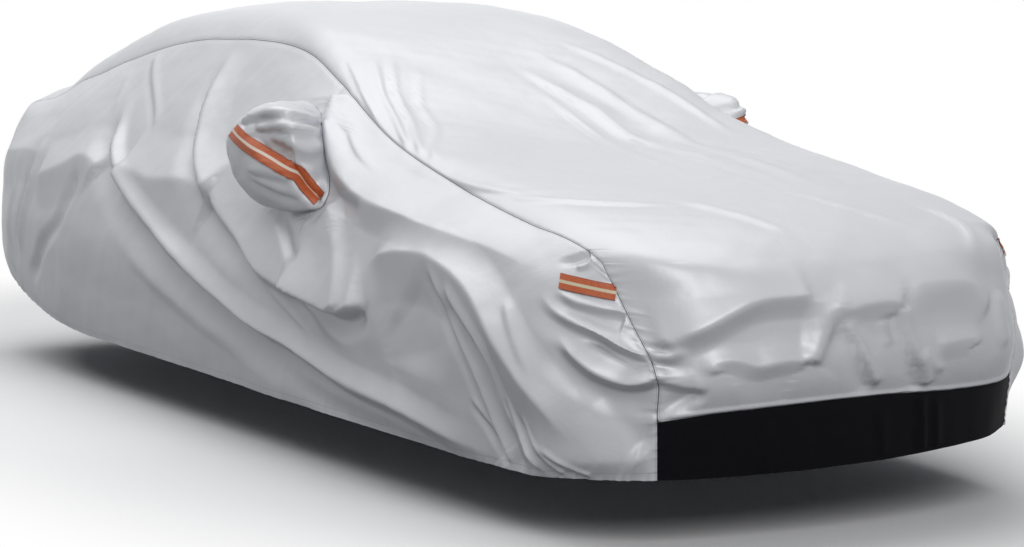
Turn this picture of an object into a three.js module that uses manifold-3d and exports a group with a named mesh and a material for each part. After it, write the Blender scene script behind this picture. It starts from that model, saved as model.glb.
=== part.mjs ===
// A fitted car cover as it hangs over a four-door car, with the car left out.
// Millimetres, +Z up, the front of the cover towards -Y and its right-hand side towards -X.
// The tables give heights above the ground and distances from the middle of the car; the
// whole cover is then moved so that the origin is in the middle of the roof over the rear
// doors, on the underside of the cloth, where the roof carries it.
import * as THREE from "three";
import { mergeVertices } from "three/addons/utils/BufferGeometryUtils.js";
import Module from "manifold-3d";

const wasm = await Module();
wasm.setup();

// ---- driving dimensions ----
const clothThickness = 2;
const seamGap = 0.4; // between two panels that are sewn edge to edge
const pocketSeamGap = 0.9; // around the mouth of a mirror pocket
const tapeThickness = 1;
const tapeGap = 0.8; // between a tape and the cloth under it
const mirrorTapeWidth = 52;
const cornerTapeWidth = 42;
const roofTop = { station: 5, y: 370, height: 1476 }; // the outside of the cloth over the origin

const COLOURS = {
  silver: { color: 0xb4b6bb, roughness: 0.45, metalness: 0.2 },
  black: { color: 0x0c0c10, roughness: 0.8, metalness: 0 },
  orange: { color: 0xc65a28, roughness: 0.6, metalness: 0 },
};

// ---- the form ----
// Seven lines run along the cover. Each station, from the rear corner seam to the front
// corner seam, gives for every line its place along the car, its distance from the middle
// and its height:
//   centre, rail, seam, shoulder, waist, sill, hem
// The centre panel spans the first three lines of both sides, a side panel the last five.
const STATIONS = [
  { name: "rear seam",
    y: [2330, 2300, 2200, 2370, 2420, 2410, 2370],
    half: [0, 500, 640, 700, 735, 735, 705],
    height: [1095, 1085, 1050, 930, 700, 500, 365] },
  { name: "rear corner",
    y: [2120, 2100, 2040, 2200, 2190, 2170, 2130],
    half: [0, 510, 630, 805, 850, 860, 835],
    height: [1155, 1140, 1088, 870, 660, 460, 345] },
  { name: "boot",
    y: [1850, 1830, 1800, 1840, 1840, 1840, 1830],
    half: [0, 490, 610, 835, 905, 900, 880],
    height: [1275, 1250, 1158, 905, 650, 430, 280] },
  { name: "rear wheel",
    y: [1450, 1430, 1405, 1405, 1405, 1405, 1405],
    half: [0, 460, 585, 835, 925, 915, 885],
    height: [1392, 1368, 1252, 935, 640, 400, 212] },
  { name: "rear pillar",
    y: [920, 910, 900, 900, 900, 900, 900],
    half: [0, 430, 560, 815, 925, 910, 885],
    height: [1466, 1444, 1332, 950, 620, 380, 203] },
  { name: "rear door",
    y: [370, 360, 350, 350, 350, 350, 350],
    half: [0, 430, 560, 815, 925, 910, 885],
    height: [1476, 1455, 1352, 955, 620, 380, 200] },
  { name: "front door",
    y: [-120, -110, -100, -100, -100, -100, -100],
    half: [0, 480, 580, 820, 925, 910, 885],
    height: [1420, 1405, 1325, 950, 620, 380, 196] },
  { name: "mirror",
    y: [-520, -500, -460, -450, -450, -450, -450],
    half: [0, 540, 628, 830, 930, 910, 885],
    height: [1268, 1272, 1230, 940, 620, 380, 193] },
  { name: "windscreen foot",
    y: [-1010, -980, -930, -920, -920, -920, -920],
    half: [0, 600, 688, 855, 930, 912, 885],
    height: [1062, 1085, 1070, 880, 620, 380, 188] },
  { name: "front wheel",
    y: [-1550, -1520, -1464, -1464, -1464, -1464, -1464],
    half: [0, 610, 724, 870, 930, 915, 885],
    height: [998, 994, 951, 800, 600, 375, 183] },
  { name: "bonnet",
    y: [-1980, -1930, -1850, -1860, -1860, -1860, -1850],
    half: [0, 610, 735, 850, 905, 895, 870],
    height: [940, 930, 885, 765, 580, 360, 186] },
  { name: "headlamp",
    y: [-2270, -2200, -2100, -2150, -2160, -2150, -2110],
    half: [0, 610, 732, 805, 850, 855, 840],
    height: [875, 870, 850, 715, 540, 350, 190] },
  { name: "front seam",
    y: [-2420, -2370, -2225, -2325, -2405, -2390, -2378],
    half: [0, 560, 715, 685, 650, 636, 626],
    height: [795, 805, 800, 650, 500, 365, 200] },
];

// The cloth is pulled a little to the left at the front, so the left-hand front corner
// seam lies further out and its hem hangs higher.
const LEFT_STATIONS = {
  "headlamp": {
    y: [-2270, -2200, -2100, -2150, -2170, -2160, -2130],
    half: [0, 610, 732, 805, 845, 845, 825],
    height: [875, 870, 850, 715, 540, 360, 205] },
  "front seam": {
    y: [-2420, -2360, -2215, -2300, -2360, -2345, -2335],
    half: [0, 560, 725, 725, 715, 705, 695],
    height: [795, 805, 800, 650, 510, 392, 232] },
};

// Below the front and rear edges of the top, the centre panel drops between the corner
// seams. line: the place on the corner seam, 0 at the long seam and 4 at the hem.
const FRONT_DROP = [
  { line: 0.55, centreY: -2500, centreHeight: 700, railY: -2430, railHalf: 530, railHeight: 700 },
  { line: 1.3, centreY: -2535, centreHeight: 580, railY: -2475, railHalf: 500, railHeight: 580 },
  { line: 2, centreY: -2540, centreHeight: 500, railY: -2490, railHalf: 480, railHeight: 495 },
  { line: 3, centreY: -2510, centreHeight: 402, railY: -2465, railHalf: 450, railHeight: 390 },
];
const REAR_DROP = [
  { line: 0.6, centreY: 2410, centreHeight: 990, railY: 2390, railHalf: 500, railHeight: 985 },
  { line: 1.2, centreY: 2450, centreHeight: 850, railY: 2430, railHalf: 500, railHeight: 845 },
  { line: 2.2, centreY: 2465, centreHeight: 660, railY: 2450, railHalf: 500, railHeight: 660 },
  { line: 3.2, centreY: 2450, centreHeight: 480, railY: 2430, railHalf: 500, railHeight: 480 },
  { line: 4, centreY: 2420, centreHeight: 370, railY: 2400, railHalf: 500, railHeight: 370 },
];
// The black skirt hangs from the front edge of the centre panel.
const skirt = { topLine: 3, hemLine: 4, centreY: -2480, centreHeight: 207, railY: -2437,
  railHalf: 440, railHeights: { right: 200, left: 222 } };

// ---- the main folds ----
// at: [station, line] points along the fold; height: how far it stands out of the cloth
// (below 0 is a trough); before, after: how far its two slopes reach, to the right and to
// the left of the path as it runs, seen from outside.
const SIDE_FOLDS = {
  right: [
    { name: "long fold from the rail", height: 36, before: 90, after: 75,
      at: [[4.6, 0.1], [4.85, 0.45], [5.1, 0.8], [5.5, 1.1], [6.3, 1.5], [7.2, 2], [8.2, 2.8], [8.7, 3.05]] },
    { name: "hollow under it", height: -26, before: 60, after: 85,
      at: [[5.5, 1.35], [6, 1.65], [6.8, 2.05], [7.3, 2.45], [8.2, 3.05]] },
    { name: "long fold to the hem", height: 38, before: 55, after: 95,
      at: [[3.6, 0.8], [3.8, 1.1], [4.3, 1.45], [4.9, 1.8], [5.6, 2.15], [6.5, 2.55], [7.4, 2.95],
        [8.7, 3.4], [9.9, 3.85]] },
    { name: "hollow beside it", height: -30, before: 75, after: 60,
      at: [[4.1, 1.5], [4.7, 1.88], [5.3, 2.25], [6.1, 2.68], [7.1, 3.12], [8.5, 3.6]] },
    { name: "rear wheel peak", height: 24, before: 75, after: 100,
      at: [[3.2, 1.2], [3.5, 1.3], [4.2, 1.65], [4.8, 2.05], [5.4, 2.5]] },
    { name: "rear corner fold", height: 22, before: 80, after: 65,
      at: [[3.2, 1.2], [3.1, 1.7], [2.6, 2.6], [2.2, 3.3]] },
    { name: "wheel arch crest", height: 28, before: 75, after: 120,
      at: [[8.5, 1.6], [9, 1.2], [9.5, 1.25], [9.9, 1.6], [10.3, 2.1], [11, 2.95], [11.4, 3.6]] },
    { name: "first wheel arch fold", height: 20, before: 60, after: 60,
      at: [[9.3, 1.5], [9.7, 2.4], [10.1, 3.3], [10.4, 3.9]] },
    { name: "pull from the mirror", height: 22, before: 80, after: 70,
      at: [[7.9, 0.5], [8.2, 0.65], [8.7, 0.6], [9.4, 0.5], [10.4, 0.7]] },
    { name: "headlamp fold", height: 24, before: 70, after: 60,
      at: [[10.6, 1.2], [11, 1.45], [11.4, 1.5], [11.8, 1.65]] },
  ],
  left: [
    { name: "fold from the rail", height: 34, before: 85, after: 75,
      at: [[4.9, 0.2], [5.1, 0.9], [5.8, 1.5], [6.9, 2.2], [7.9, 3], [8.8, 3.7]] },
    { name: "hollow under it", height: -26, before: 70, after: 75,
      at: [[5.2, 1.4], [6, 2], [7, 2.7], [7.8, 3.4]] },
    { name: "fold to the hem", height: 32, before: 65, after: 90,
      at: [[3.4, 0.9], [3.9, 1.6], [4.8, 2.3], [5.9, 2.9], [7, 3.6]] },
    { name: "rear wheel peak", height: 24, before: 75, after: 90,
      at: [[2.9, 1.3], [3.6, 1.8], [4.3, 2.5], [4.9, 3.2]] },
    { name: "rear corner fold", height: 22, before: 75, after: 65,
      at: [[2.9, 1.3], [2.6, 2.1], [2.3, 3.1]] },
    { name: "wheel arch crest", height: 26, before: 75, after: 110,
      at: [[8.7, 1.7], [9.2, 1.3], [9.7, 1.4], [10.2, 2.1], [10.9, 3.2]] },
    { name: "pull from the mirror", height: 20, before: 80, after: 70,
      at: [[7.9, 0.6], [8.4, 0.7], [9.4, 0.55], [10.2, 0.75]] },
  ],
};
// On the centre panel a point is [row, across]: rows count from the rear hem, and across
// runs from 0 at the right-hand seam over 2 in the middle to 4 at the left-hand seam.
const CENTRE_FOLDS = [
  { name: "windscreen fold", height: 18, before: 60, after: 60,
    at: [[11.8, 2.35], [12.5, 2.5], [13.2, 2.6], [14.2, 2.65], [15.4, 2.6]] },
  { name: "left pillar", height: 18, before: 60, after: 60,
    at: [[11.4, 2.95], [12.1, 3.2], [12.8, 3.35], [13.5, 3.3]] },
  { name: "right pillar", height: 12, before: 50, after: 60,
    at: [[11.8, 0.7], [12.5, 0.55], [13.1, 0.4], [13.8, 0.3]] },
  { name: "right grille hollow", height: -28, before: 90, after: 90,
    at: [[19.5, 0.5], [19, 0.8], [18.9, 1.2]] },
  { name: "middle grille fold", height: 28, before: 70, after: 80,
    at: [[18.2, 1.65], [18.8, 1.52], [19.8, 1.36]] },
  { name: "second grille fold", height: 20, before: 60, after: 60,
    at: [[18.4, 1.8], [19.2, 1.88], [20.6, 2.1]] },
  { name: "third grille fold", height: 24, before: 65, after: 70,
    at: [[18.2, 2.2], [19.1, 2.42], [20.6, 2.72]] },
  { name: "rear window fold", height: 12, before: 60, after: 70,
    at: [[7.2, 1.2], [7.8, 1.7], [8.6, 2.1]] },
  { name: "tail fold", height: 22, before: 60, after: 60,
    at: [[4.6, 1.1], [3.6, 1.3], [2, 1.2], [0.6, 1.3]] },
  { name: "second tail fold", height: 22, before: 60, after: 60,
    at: [[4.4, 2.7], [3.2, 2.6], [1.8, 2.8], [0.5, 2.75]] },
];
// Folds die out before they reach a seam, over these parts of a station, line or row.
const seamFade = { stations: 0.8, lines: 0.25, rows: 0.6, across: 0.25 };
const foldEndShare = 0.22; // the part of a fold's length over which it rises and dies out

// ---- the mirror pockets ----
// The opening is a rounded and leaning square in the side panel's stations and lines.
const opening = { station: 7.1, line: 0.72, halfStations: 0.42, halfLines: 0.5, lean: 0.8,
  stationReach: 4, lineReach: 1.4, cells: 4 };
// Sections of the bag, from the side panel out to its end. The left one is drawn in tighter.
const POCKETS = {
  right: {
    sections: [
      { half: 925, y: -548, height: 1000, depth: 180, rise: 168 },
      { half: 980, y: -500, height: 990, depth: 140, rise: 138 },
      { half: 1006, y: -465, height: 988, depth: 88, rise: 92 },
    ],
    end: { half: 1016, y: -450, height: 987 },
  },
  left: {
    sections: [
      { half: 900, y: -510, height: 1012, depth: 135, rise: 142 },
      { half: 928, y: -475, height: 1010, depth: 100, rise: 114 },
      { half: 946, y: -450, height: 1008, depth: 62, rise: 72 },
    ],
    end: { half: 954, y: -440, height: 1007 },
  },
};
const pocketSquareness = 2.6; // 2 is an ellipse, more is squarer

// ---- the tapes ----
// Each is a band of one width, seen square on along its facing direction.
const tapeFacing = new THREE.Vector3(0.5, -0.86, 0);
const MIRROR_TAPES = {
  right: [
    { half: 1004, y: -425, height: 1082 },
    { half: 1008, y: -535, height: 1043 },
    { half: 985, y: -605, height: 1014 },
    { half: 947, y: -705, height: 970 },
    { half: 921, y: -731, height: 952 },
    { half: 894, y: -742, height: 913 },
    { half: 850, y: -780, height: 860 },
  ],
  left: [
    { half: 944, y: -425, height: 1055 },
    { half: 925, y: -540, height: 1015 },
    { half: 892, y: -620, height: 965 },
    { half: 850, y: -672, height: 896 },
  ],
};
const CORNER_TAPES = {
  right: [
    { half: 797, y: -2136, height: 745 },
    { half: 752, y: -2223, height: 732 },
    { half: 696, y: -2281, height: 719 },
  ],
  left: [
    { half: 797, y: -2136, height: 742 },
    { half: 752, y: -2223, height: 730 },
    { half: 700, y: -2277, height: 719 },
  ],
};

// ---- lines through the tables ----
const lineCount = 7;
const seamLine = 2; // the first line of a side panel
const railLine = 1;
const lastStation = STATIONS.length - 1;
const acrossKnots = [0, 0.45, 2, 3.55, 4]; // seam, rail, centre, rail, seam
const rearRows = REAR_DROP.length;

function stationsOf(side) {
  return STATIONS.map((station) => {
    const row = side === "left" && LEFT_STATIONS[station.name] ? LEFT_STATIONS[station.name] : station;
    const points = [];
    for (let line = 0; line < lineCount; line++) {
      points.push(new THREE.Vector3(row.half[line], row.y[line], row.height[line]));
    }
    return points;
  });
}
const SIDES = { right: stationsOf("right"), left: stationsOf("left") };
const sideSign = { right: -1, left: 1 };

// A smooth curve through points at the given knots; at is a place between the knots.
function through(points, knots, at) {
  const last = points.length - 1;
  let i = 0;
  while (i < last - 1 && at >= knots[i + 1]) i += 1;
  const slope = (k) => {
    if (k > 0 && k < last) {
      return points[k + 1].clone().sub(points[k - 1]).divideScalar(knots[k + 1] - knots[k - 1]);
    }
    const [from, to, inner] = k === 0 ? [0, 1, 1] : [last - 1, last, last - 1];
    const chord = points[to].clone().sub(points[from]).divideScalar(knots[to] - knots[from]);
    return last > 1 ? chord.multiplyScalar(2).sub(slope(inner)) : chord;
  };
  const span = knots[i + 1] - knots[i];
  const f = (at - knots[i]) / span;
  return points[i].clone().multiplyScalar(2 * f ** 3 - 3 * f ** 2 + 1)
    .addScaledVector(slope(i), (f ** 3 - 2 * f ** 2 + f) * span)
    .addScaledVector(points[i + 1], 3 * f ** 2 - 2 * f ** 3)
    .addScaledVector(slope(i + 1), (f ** 3 - f ** 2) * span);
}
const counting = (count) => Array.from({ length: count }, (_, i) => i);
const smoothStep = (x) => {
  const t = Math.min(Math.max(x, 0), 1);
  return t * t * (3 - 2 * t);
};

// A point of a side panel: station from 0 to 12, line from 0 at the seam to 4 at the hem.
function sidePoint(side, station, line) {
  const rows = counting(STATIONS.length);
  const section = counting(lineCount - seamLine).map((k) =>
    through(SIDES[side].map((points) => points[seamLine + k]), rows, station));
  const point = through(section, counting(section.length), line);
  point.x *= sideSign[side];
  return point;
}

// The rows of the centre panel, from the rear hem over the top to the skirt seam.
const dropRow = (row, station) => ({ station, line: row.line,
  centre: new THREE.Vector3(0, row.centreY, row.centreHeight),
  rail: new THREE.Vector3(row.railHalf, row.railY, row.railHeight) });
const CENTRE_ROWS = [
  ...REAR_DROP.toReversed().map((row) => dropRow(row, 0)),
  ...SIDES.right.map((points, station) => ({ station, line: 0, centre: points[0], rail: points[railLine] })),
  ...FRONT_DROP.map((row) => dropRow(row, lastStation)),
];

// A point of the centre panel: row counts CENTRE_ROWS, across runs over acrossKnots.
function centrePoint(row, across) {
  const rows = counting(CENTRE_ROWS.length);
  const i = Math.min(Math.floor(row), CENTRE_ROWS.length - 2);
  const f = row - i;
  const station = THREE.MathUtils.lerp(CENTRE_ROWS[i].station, CENTRE_ROWS[i + 1].station, f);
  const line = THREE.MathUtils.lerp(CENTRE_ROWS[i].line, CENTRE_ROWS[i + 1].line, f);
  const centre = through(CENTRE_ROWS.map((r) => r.centre), rows, row);
  const rail = through(CENTRE_ROWS.map((r) => r.rail), rows, row);
  const section = [
    sidePoint("right", station, line),
    new THREE.Vector3(-rail.x, rail.y, rail.z),
    centre,
    rail,
    sidePoint("left", station, line),
  ];
  return through(section, acrossKnots, across);
}

// A point of the black skirt, which hangs below the last row of the centre panel.
function skirtPoint(line, across) {
  const { topLine, hemLine, centreY, centreHeight, railY, railHalf, railHeights } = skirt;
  const hem = [
    sidePoint("right", lastStation, hemLine),
    new THREE.Vector3(-railHalf, railY, railHeights.right),
    new THREE.Vector3(0, centreY, centreHeight),
    new THREE.Vector3(railHalf, railY, railHeights.left),
    sidePoint("left", lastStation, hemLine),
  ];
  const down = (line - topLine) / (hemLine - topLine);
  const point = centrePoint(CENTRE_ROWS.length - 1, across).lerp(through(hem, acrossKnots, across), down);
  const side = across < 2 ? "right" : "left";
  const onSeam = sidePoint(side, lastStation, line);
  const seamStart = sidePoint(side, lastStation, topLine).lerp(sidePoint(side, lastStation, hemLine), down);
  const nearSeam = smoothStep(Math.abs(across - 2) - 1);
  return point.addScaledVector(onSeam.sub(seamStart), nearSeam);
}

// ---- grids of the panels ----
function steps(from, to, count) {
  return counting(count).map((i) => from + ((to - from) * i) / count);
}
const cells = { toRoofTop: 14, toOpening: 4, toFront: 13, overOpening: 1, underOpening: 5, inSkirt: 3,
  toRail: 2, betweenRails: 10 };
const openingStart = opening.station - opening.halfStations;
const openingEnd = opening.station + opening.halfStations;
const openingTop = opening.line - opening.halfLines;
const openingFoot = opening.line + opening.halfLines;
const stationGrid = [
  ...steps(0, roofTop.station, cells.toRoofTop),
  ...steps(roofTop.station, openingStart, cells.toOpening),
  ...steps(openingStart, openingEnd, opening.cells),
  ...steps(openingEnd, lastStation, cells.toFront),
  lastStation,
];
const lineGrid = [
  ...steps(0, openingTop, cells.overOpening),
  ...steps(openingTop, openingFoot, opening.cells),
  ...steps(openingFoot, skirt.topLine, cells.underOpening),
  ...steps(skirt.topLine, skirt.hemLine, cells.inSkirt),
  skirt.hemLine,
];
const [rightSeam, rightRail, , leftRail, leftSeam] = acrossKnots;
const acrossGrid = [
  ...steps(rightSeam, rightRail, cells.toRail),
  ...steps(rightRail, leftRail, cells.betweenRails),
  ...steps(leftRail, leftSeam, cells.toRail),
  leftSeam,
];
// The row of the centre panel at a place on a corner seam.
function rowAt(station, line) {
  let i = 0;
  const within = (k) => {
    const [from, to] = [CENTRE_ROWS[k], CENTRE_ROWS[k + 1]];
    return from.station === station && to.station === station
      && Math.min(from.line, to.line) <= line && line <= Math.max(from.line, to.line);
  };
  while (!within(i)) i += 1;
  const [from, to] = [CENTRE_ROWS[i], CENTRE_ROWS[i + 1]];
  return i + (line - from.line) / (to.line - from.line);
}
const rowGrid = [
  ...lineGrid.slice(1).toReversed().map((line) => rowAt(0, line)),
  ...stationGrid.map((station) => rearRows + station),
  ...lineGrid.slice(1).filter((line) => line <= skirt.topLine).map((line) => rowAt(lastStation, line)),
];
const skirtLines = lineGrid.filter((line) => line >= skirt.topLine);

// Round the grid to the opening: the block of cells around it takes the leaning round form,
// and the change dies out at the reach of the opening.
function aroundOpening(station, line) {
  const u = (station - opening.station) / opening.halfStations;
  const v = (line - opening.line) / opening.halfLines;
  const outside = Math.max(
    (Math.abs(u) - 1) / (opening.stationReach - 1), (Math.abs(v) - 1) / (opening.lineReach - 1), 0);
  const share = 1 - smoothStep(outside);
  if (share === 0) return [station, line];
  const power = (Math.abs(u) ** pocketSquareness + Math.abs(v) ** pocketSquareness) ** (1 / pocketSquareness);
  const round = power > 0 ? Math.max(Math.abs(u), Math.abs(v)) / power : 1;
  const newU = u * round + opening.lean * v * round;
  const newV = v * round;
  return [
    station + (newU - u) * opening.halfStations * share,
    line + (newV - v) * opening.halfLines * share,
  ];
}

// ---- folds ----
// The polyline that a fold follows on its panel, as points in space.
const foldSamples = 24;
function foldLine(fold, pointAt) {
  const knots = counting(fold.at.length);
  const path = fold.at.map(([a, b]) => new THREE.Vector3(a, b, 0));
  return counting(foldSamples + 1).map((i) => {
    const place = through(path, knots, ((fold.at.length - 1) * i) / foldSamples);
    return pointAt(place.x, place.y);
  });
}
function foldHeight(fold, line, point, normal) {
  let best = Infinity;
  let along = 0;
  let offset = null;
  for (let i = 0; i < line.length - 1; i++) {
    const direction = line[i + 1].clone().sub(line[i]);
    const from = point.clone().sub(line[i]);
    const f = THREE.MathUtils.clamp(from.dot(direction) / direction.lengthSq(), 0, 1);
    const away = from.addScaledVector(direction, -f);
    if (away.length() < best) {
      best = away.length();
      along = (i + f) / (line.length - 1);
      offset = away.dot(direction.cross(normal));
    }
  }
  const reach = offset > 0 ? fold.before : fold.after;
  const ends = smoothStep(along / foldEndShare) * smoothStep((1 - along) / foldEndShare);
  return fold.height * ends * Math.exp(-((best / reach) ** 2));
}

// ---- closed sheets ----
const seamOrder = (vertex) => vertex.y + 0.7 * vertex.z + 0.3 * Math.abs(vertex.x);

// A sheet has vertices, unit normals out of the cloth and faces of three or four vertices.
// The solid lies between two distances from it, inside < outside.
function sheetSolid(sheet, inside, outside) {
  const count = sheet.vertices.length;
  const positions = [];
  for (const distance of [outside, inside]) {
    sheet.vertices.forEach((vertex, i) => {
      const moved = vertex.clone().addScaledVector(sheet.normals[i], distance);
      positions.push(moved.x, moved.y, moved.z);
    });
  }
  const index = [];
  const edges = new Map();
  for (const face of sheet.faces) {
    for (let k = 1; k < face.length - 1; k++) {
      index.push(face[0], face[k], face[k + 1]);
      index.push(count + face[0], count + face[k + 1], count + face[k]);
    }
    face.forEach((from, k) => {
      const to = face[(k + 1) % face.length];
      if (!edges.delete(`${to}_${from}`)) edges.set(`${from}_${to}`, [from, to]);
    });
  }
  for (const [from, to] of edges.values()) {
    // Both sheets of a seam split a wall along the same diagonal, so their walls stay parallel.
    if (seamOrder(sheet.vertices[from]) < seamOrder(sheet.vertices[to])) {
      index.push(to, from, count + from, to, count + from, count + to);
    } else {
      index.push(from, count + from, count + to, from, count + to, to);
    }
  }
  const geometry = new THREE.BufferGeometry();
  geometry.setAttribute("position", new THREE.Float32BufferAttribute(positions, 3));
  geometry.setIndex(index);
  return geometry;
}

function faceNormals(sheet) {
  const normals = sheet.vertices.map(() => new THREE.Vector3());
  for (const face of sheet.faces) {
    const [a, b, c] = face.map((i) => sheet.vertices[i]);
    const d = sheet.vertices[face[face.length - 1]];
    const normal = c.clone().sub(a).cross(d.clone().sub(b));
    if (face.length === 3) normal.copy(b.clone().sub(a).cross(c.clone().sub(a)));
    for (const i of face) normals[i].add(normal);
  }
  return normals.map((normal) => normal.normalize());
}

// The same face seen from its other side. It keeps its first vertex, so that it splits into
// triangles as its mirror image does.
const turned = ([first, ...others]) => [first, ...others.toReversed()];

// A sheet over a grid of places. pointAt gives a place's point, flip turns the faces round,
// and leftOut says which cells are open.
function gridSheet(firsts, seconds, pointAt, flip, leftOut = () => false) {
  const width = seconds.length;
  const sheet = { vertices: [], faces: [], width, height: firsts.length };
  for (const first of firsts) {
    for (const second of seconds) sheet.vertices.push(pointAt(first, second));
  }
  for (let i = 0; i < firsts.length - 1; i++) {
    for (let j = 0; j < width - 1; j++) {
      if (leftOut(i, j)) continue;
      const face = [i * width + j, (i + 1) * width + j, (i + 1) * width + j + 1, i * width + j + 1];
      sheet.faces.push(flip ? turned(face) : face);
    }
  }
  sheet.normals = faceNormals(sheet);
  return sheet;
}

function addFolds(sheet, folds, pointAt, places, fade) {
  const lines = folds.map((fold) => foldLine(fold, pointAt));
  const lifts = sheet.vertices.map((vertex, i) => {
    const share = fade(...places[i]);
    if (share === 0) return 0;
    const heights = folds.map((fold, k) => foldHeight(fold, lines[k], vertex, sheet.normals[i]));
    return share * heights.reduce((sum, height) => sum + height, 0);
  });
  sheet.vertices.forEach((vertex, i) => vertex.addScaledVector(sheet.normals[i], lifts[i]));
  sheet.normals = faceNormals(sheet);
}

const openingFirst = { station: cells.toRoofTop + cells.toOpening, line: cells.overOpening };
const inOpening = (i, j) =>
  i >= openingFirst.station && i < openingFirst.station + opening.cells
  && j >= openingFirst.line && j < openingFirst.line + opening.cells;

function sideSheet(side) {
  const sheet = gridSheet(stationGrid, lineGrid,
    (station, line) => sidePoint(side, ...aroundOpening(station, line)), side === "right", inOpening);
  const places = stationGrid.flatMap((station) => lineGrid.map((line) => [station, line]));
  const { stations, lines } = seamFade;
  addFolds(sheet, SIDE_FOLDS[side], (station, line) => sidePoint(side, station, line), places,
    (station, line) => smoothStep(line / lines) * smoothStep(station / stations)
      * smoothStep((lastStation - station) / stations));
  return sheet;
}

function centreSheet() {
  const sheet = gridSheet(rowGrid, acrossGrid, centrePoint, false);
  const places = rowGrid.flatMap((row) => acrossGrid.map((across) => [row, across]));
  const skirtRow = CENTRE_ROWS.length - 1;
  addFolds(sheet, CENTRE_FOLDS, centrePoint, places,
    (row, across) => smoothStep((2 - Math.abs(across - 2)) / seamFade.across)
      * smoothStep((skirtRow - row) / seamFade.rows));
  return sheet;
}

// ---- seams ----
// The vertex numbers of a sheet along one of its edges.
const alongFirst = (sheet, second) => counting(sheet.height).map((i) => i * sheet.width + second);
const alongSecond = (sheet, first) => counting(sheet.width).map((j) => first * sheet.width + j);

// Two sheets that meet along a seam take the same normal in each vertex of it.
function shareNormals(seams) {
  const shared = new Map();
  const key = (vertex) => [vertex.x, vertex.y, vertex.z].map((value) => value.toFixed(3)).join();
  for (const { sheet, edge } of seams) {
    for (const i of edge) {
      const sum = shared.get(key(sheet.vertices[i])) ?? new THREE.Vector3();
      shared.set(key(sheet.vertices[i]), sum.add(sheet.normals[i]));
    }
  }
  for (const { sheet, edge } of seams) {
    for (const i of edge) sheet.normals[i] = shared.get(key(sheet.vertices[i])).clone().normalize();
  }
}
// Draw each edge back from its seam, along the cloth and square to the seam. An edge that
// is a ring has closed set.
function drawBack(seams, distance) {
  const moves = seams.map(({ sheet, edge, inner, closed }) => edge.map((i, k) => {
    const last = edge.length - 1;
    const before = sheet.vertices[edge[k > 0 ? k - 1 : closed ? last : 0]];
    const after = sheet.vertices[edge[k < last ? k + 1 : closed ? 0 : last]];
    const square = after.clone().sub(before).cross(sheet.normals[i]);
    const inward = sheet.vertices[inner[k]].clone().sub(sheet.vertices[i]);
    return square.setLength(Math.sign(square.dot(inward)) * distance);
  }));
  seams.forEach(({ sheet, edge }, s) => edge.forEach((i, k) => sheet.vertices[i].add(moves[s][k])));
}

const right = sideSheet("right");
const left = sideSheet("left");
const centre = centreSheet();
const front = gridSheet(skirtLines, acrossGrid, skirtPoint, false);

const lastRow = rowGrid.length - 1;
const lastAcross = acrossGrid.length - 1;
const seams = [];
for (const [sheet, centreEdge, centreInner] of [[right, 0, 1], [left, lastAcross, lastAcross - 1]]) {
  seams.push({ sheet, edge: alongFirst(sheet, 0), inner: alongFirst(sheet, 1) });
  seams.push({ sheet, edge: alongSecond(sheet, 0), inner: alongSecond(sheet, 1) });
  const lastStationRow = sheet.height - 1;
  seams.push({
    sheet,
    edge: alongSecond(sheet, lastStationRow),
    inner: alongSecond(sheet, lastStationRow - 1),
  });
  seams.push({ sheet: centre, edge: alongFirst(centre, centreEdge), inner: alongFirst(centre, centreInner) });
  seams.push({ sheet: front, edge: alongFirst(front, centreEdge), inner: alongFirst(front, centreInner) });
}
seams.push({ sheet: centre, edge: alongSecond(centre, lastRow), inner: alongSecond(centre, lastRow - 1) });
seams.push({ sheet: front, edge: alongSecond(front, 0), inner: alongSecond(front, 1) });
shareNormals(seams);
drawBack(seams, seamGap / 2);

// ---- mirror pockets ----
// The rim of the opening, once round, as cells from its front upper corner.
const rimCells = [
  ...counting(opening.cells).map((k) => [opening.cells, k]),
  ...counting(opening.cells).map((k) => [opening.cells - k, opening.cells]),
  ...counting(opening.cells).map((k) => [0, opening.cells - k]),
  ...counting(opening.cells).map((k) => [k, 0]),
];
// The same from -1 to 1 along the car and down.
const rimPlaces = rimCells.map(([i, j]) => [(2 * i) / opening.cells - 1, (2 * j) / opening.cells - 1]);
const openingRim = (sheet) =>
  rimCells.map(([i, j]) => (openingFirst.station + i) * sheet.width + openingFirst.line + j);

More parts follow.
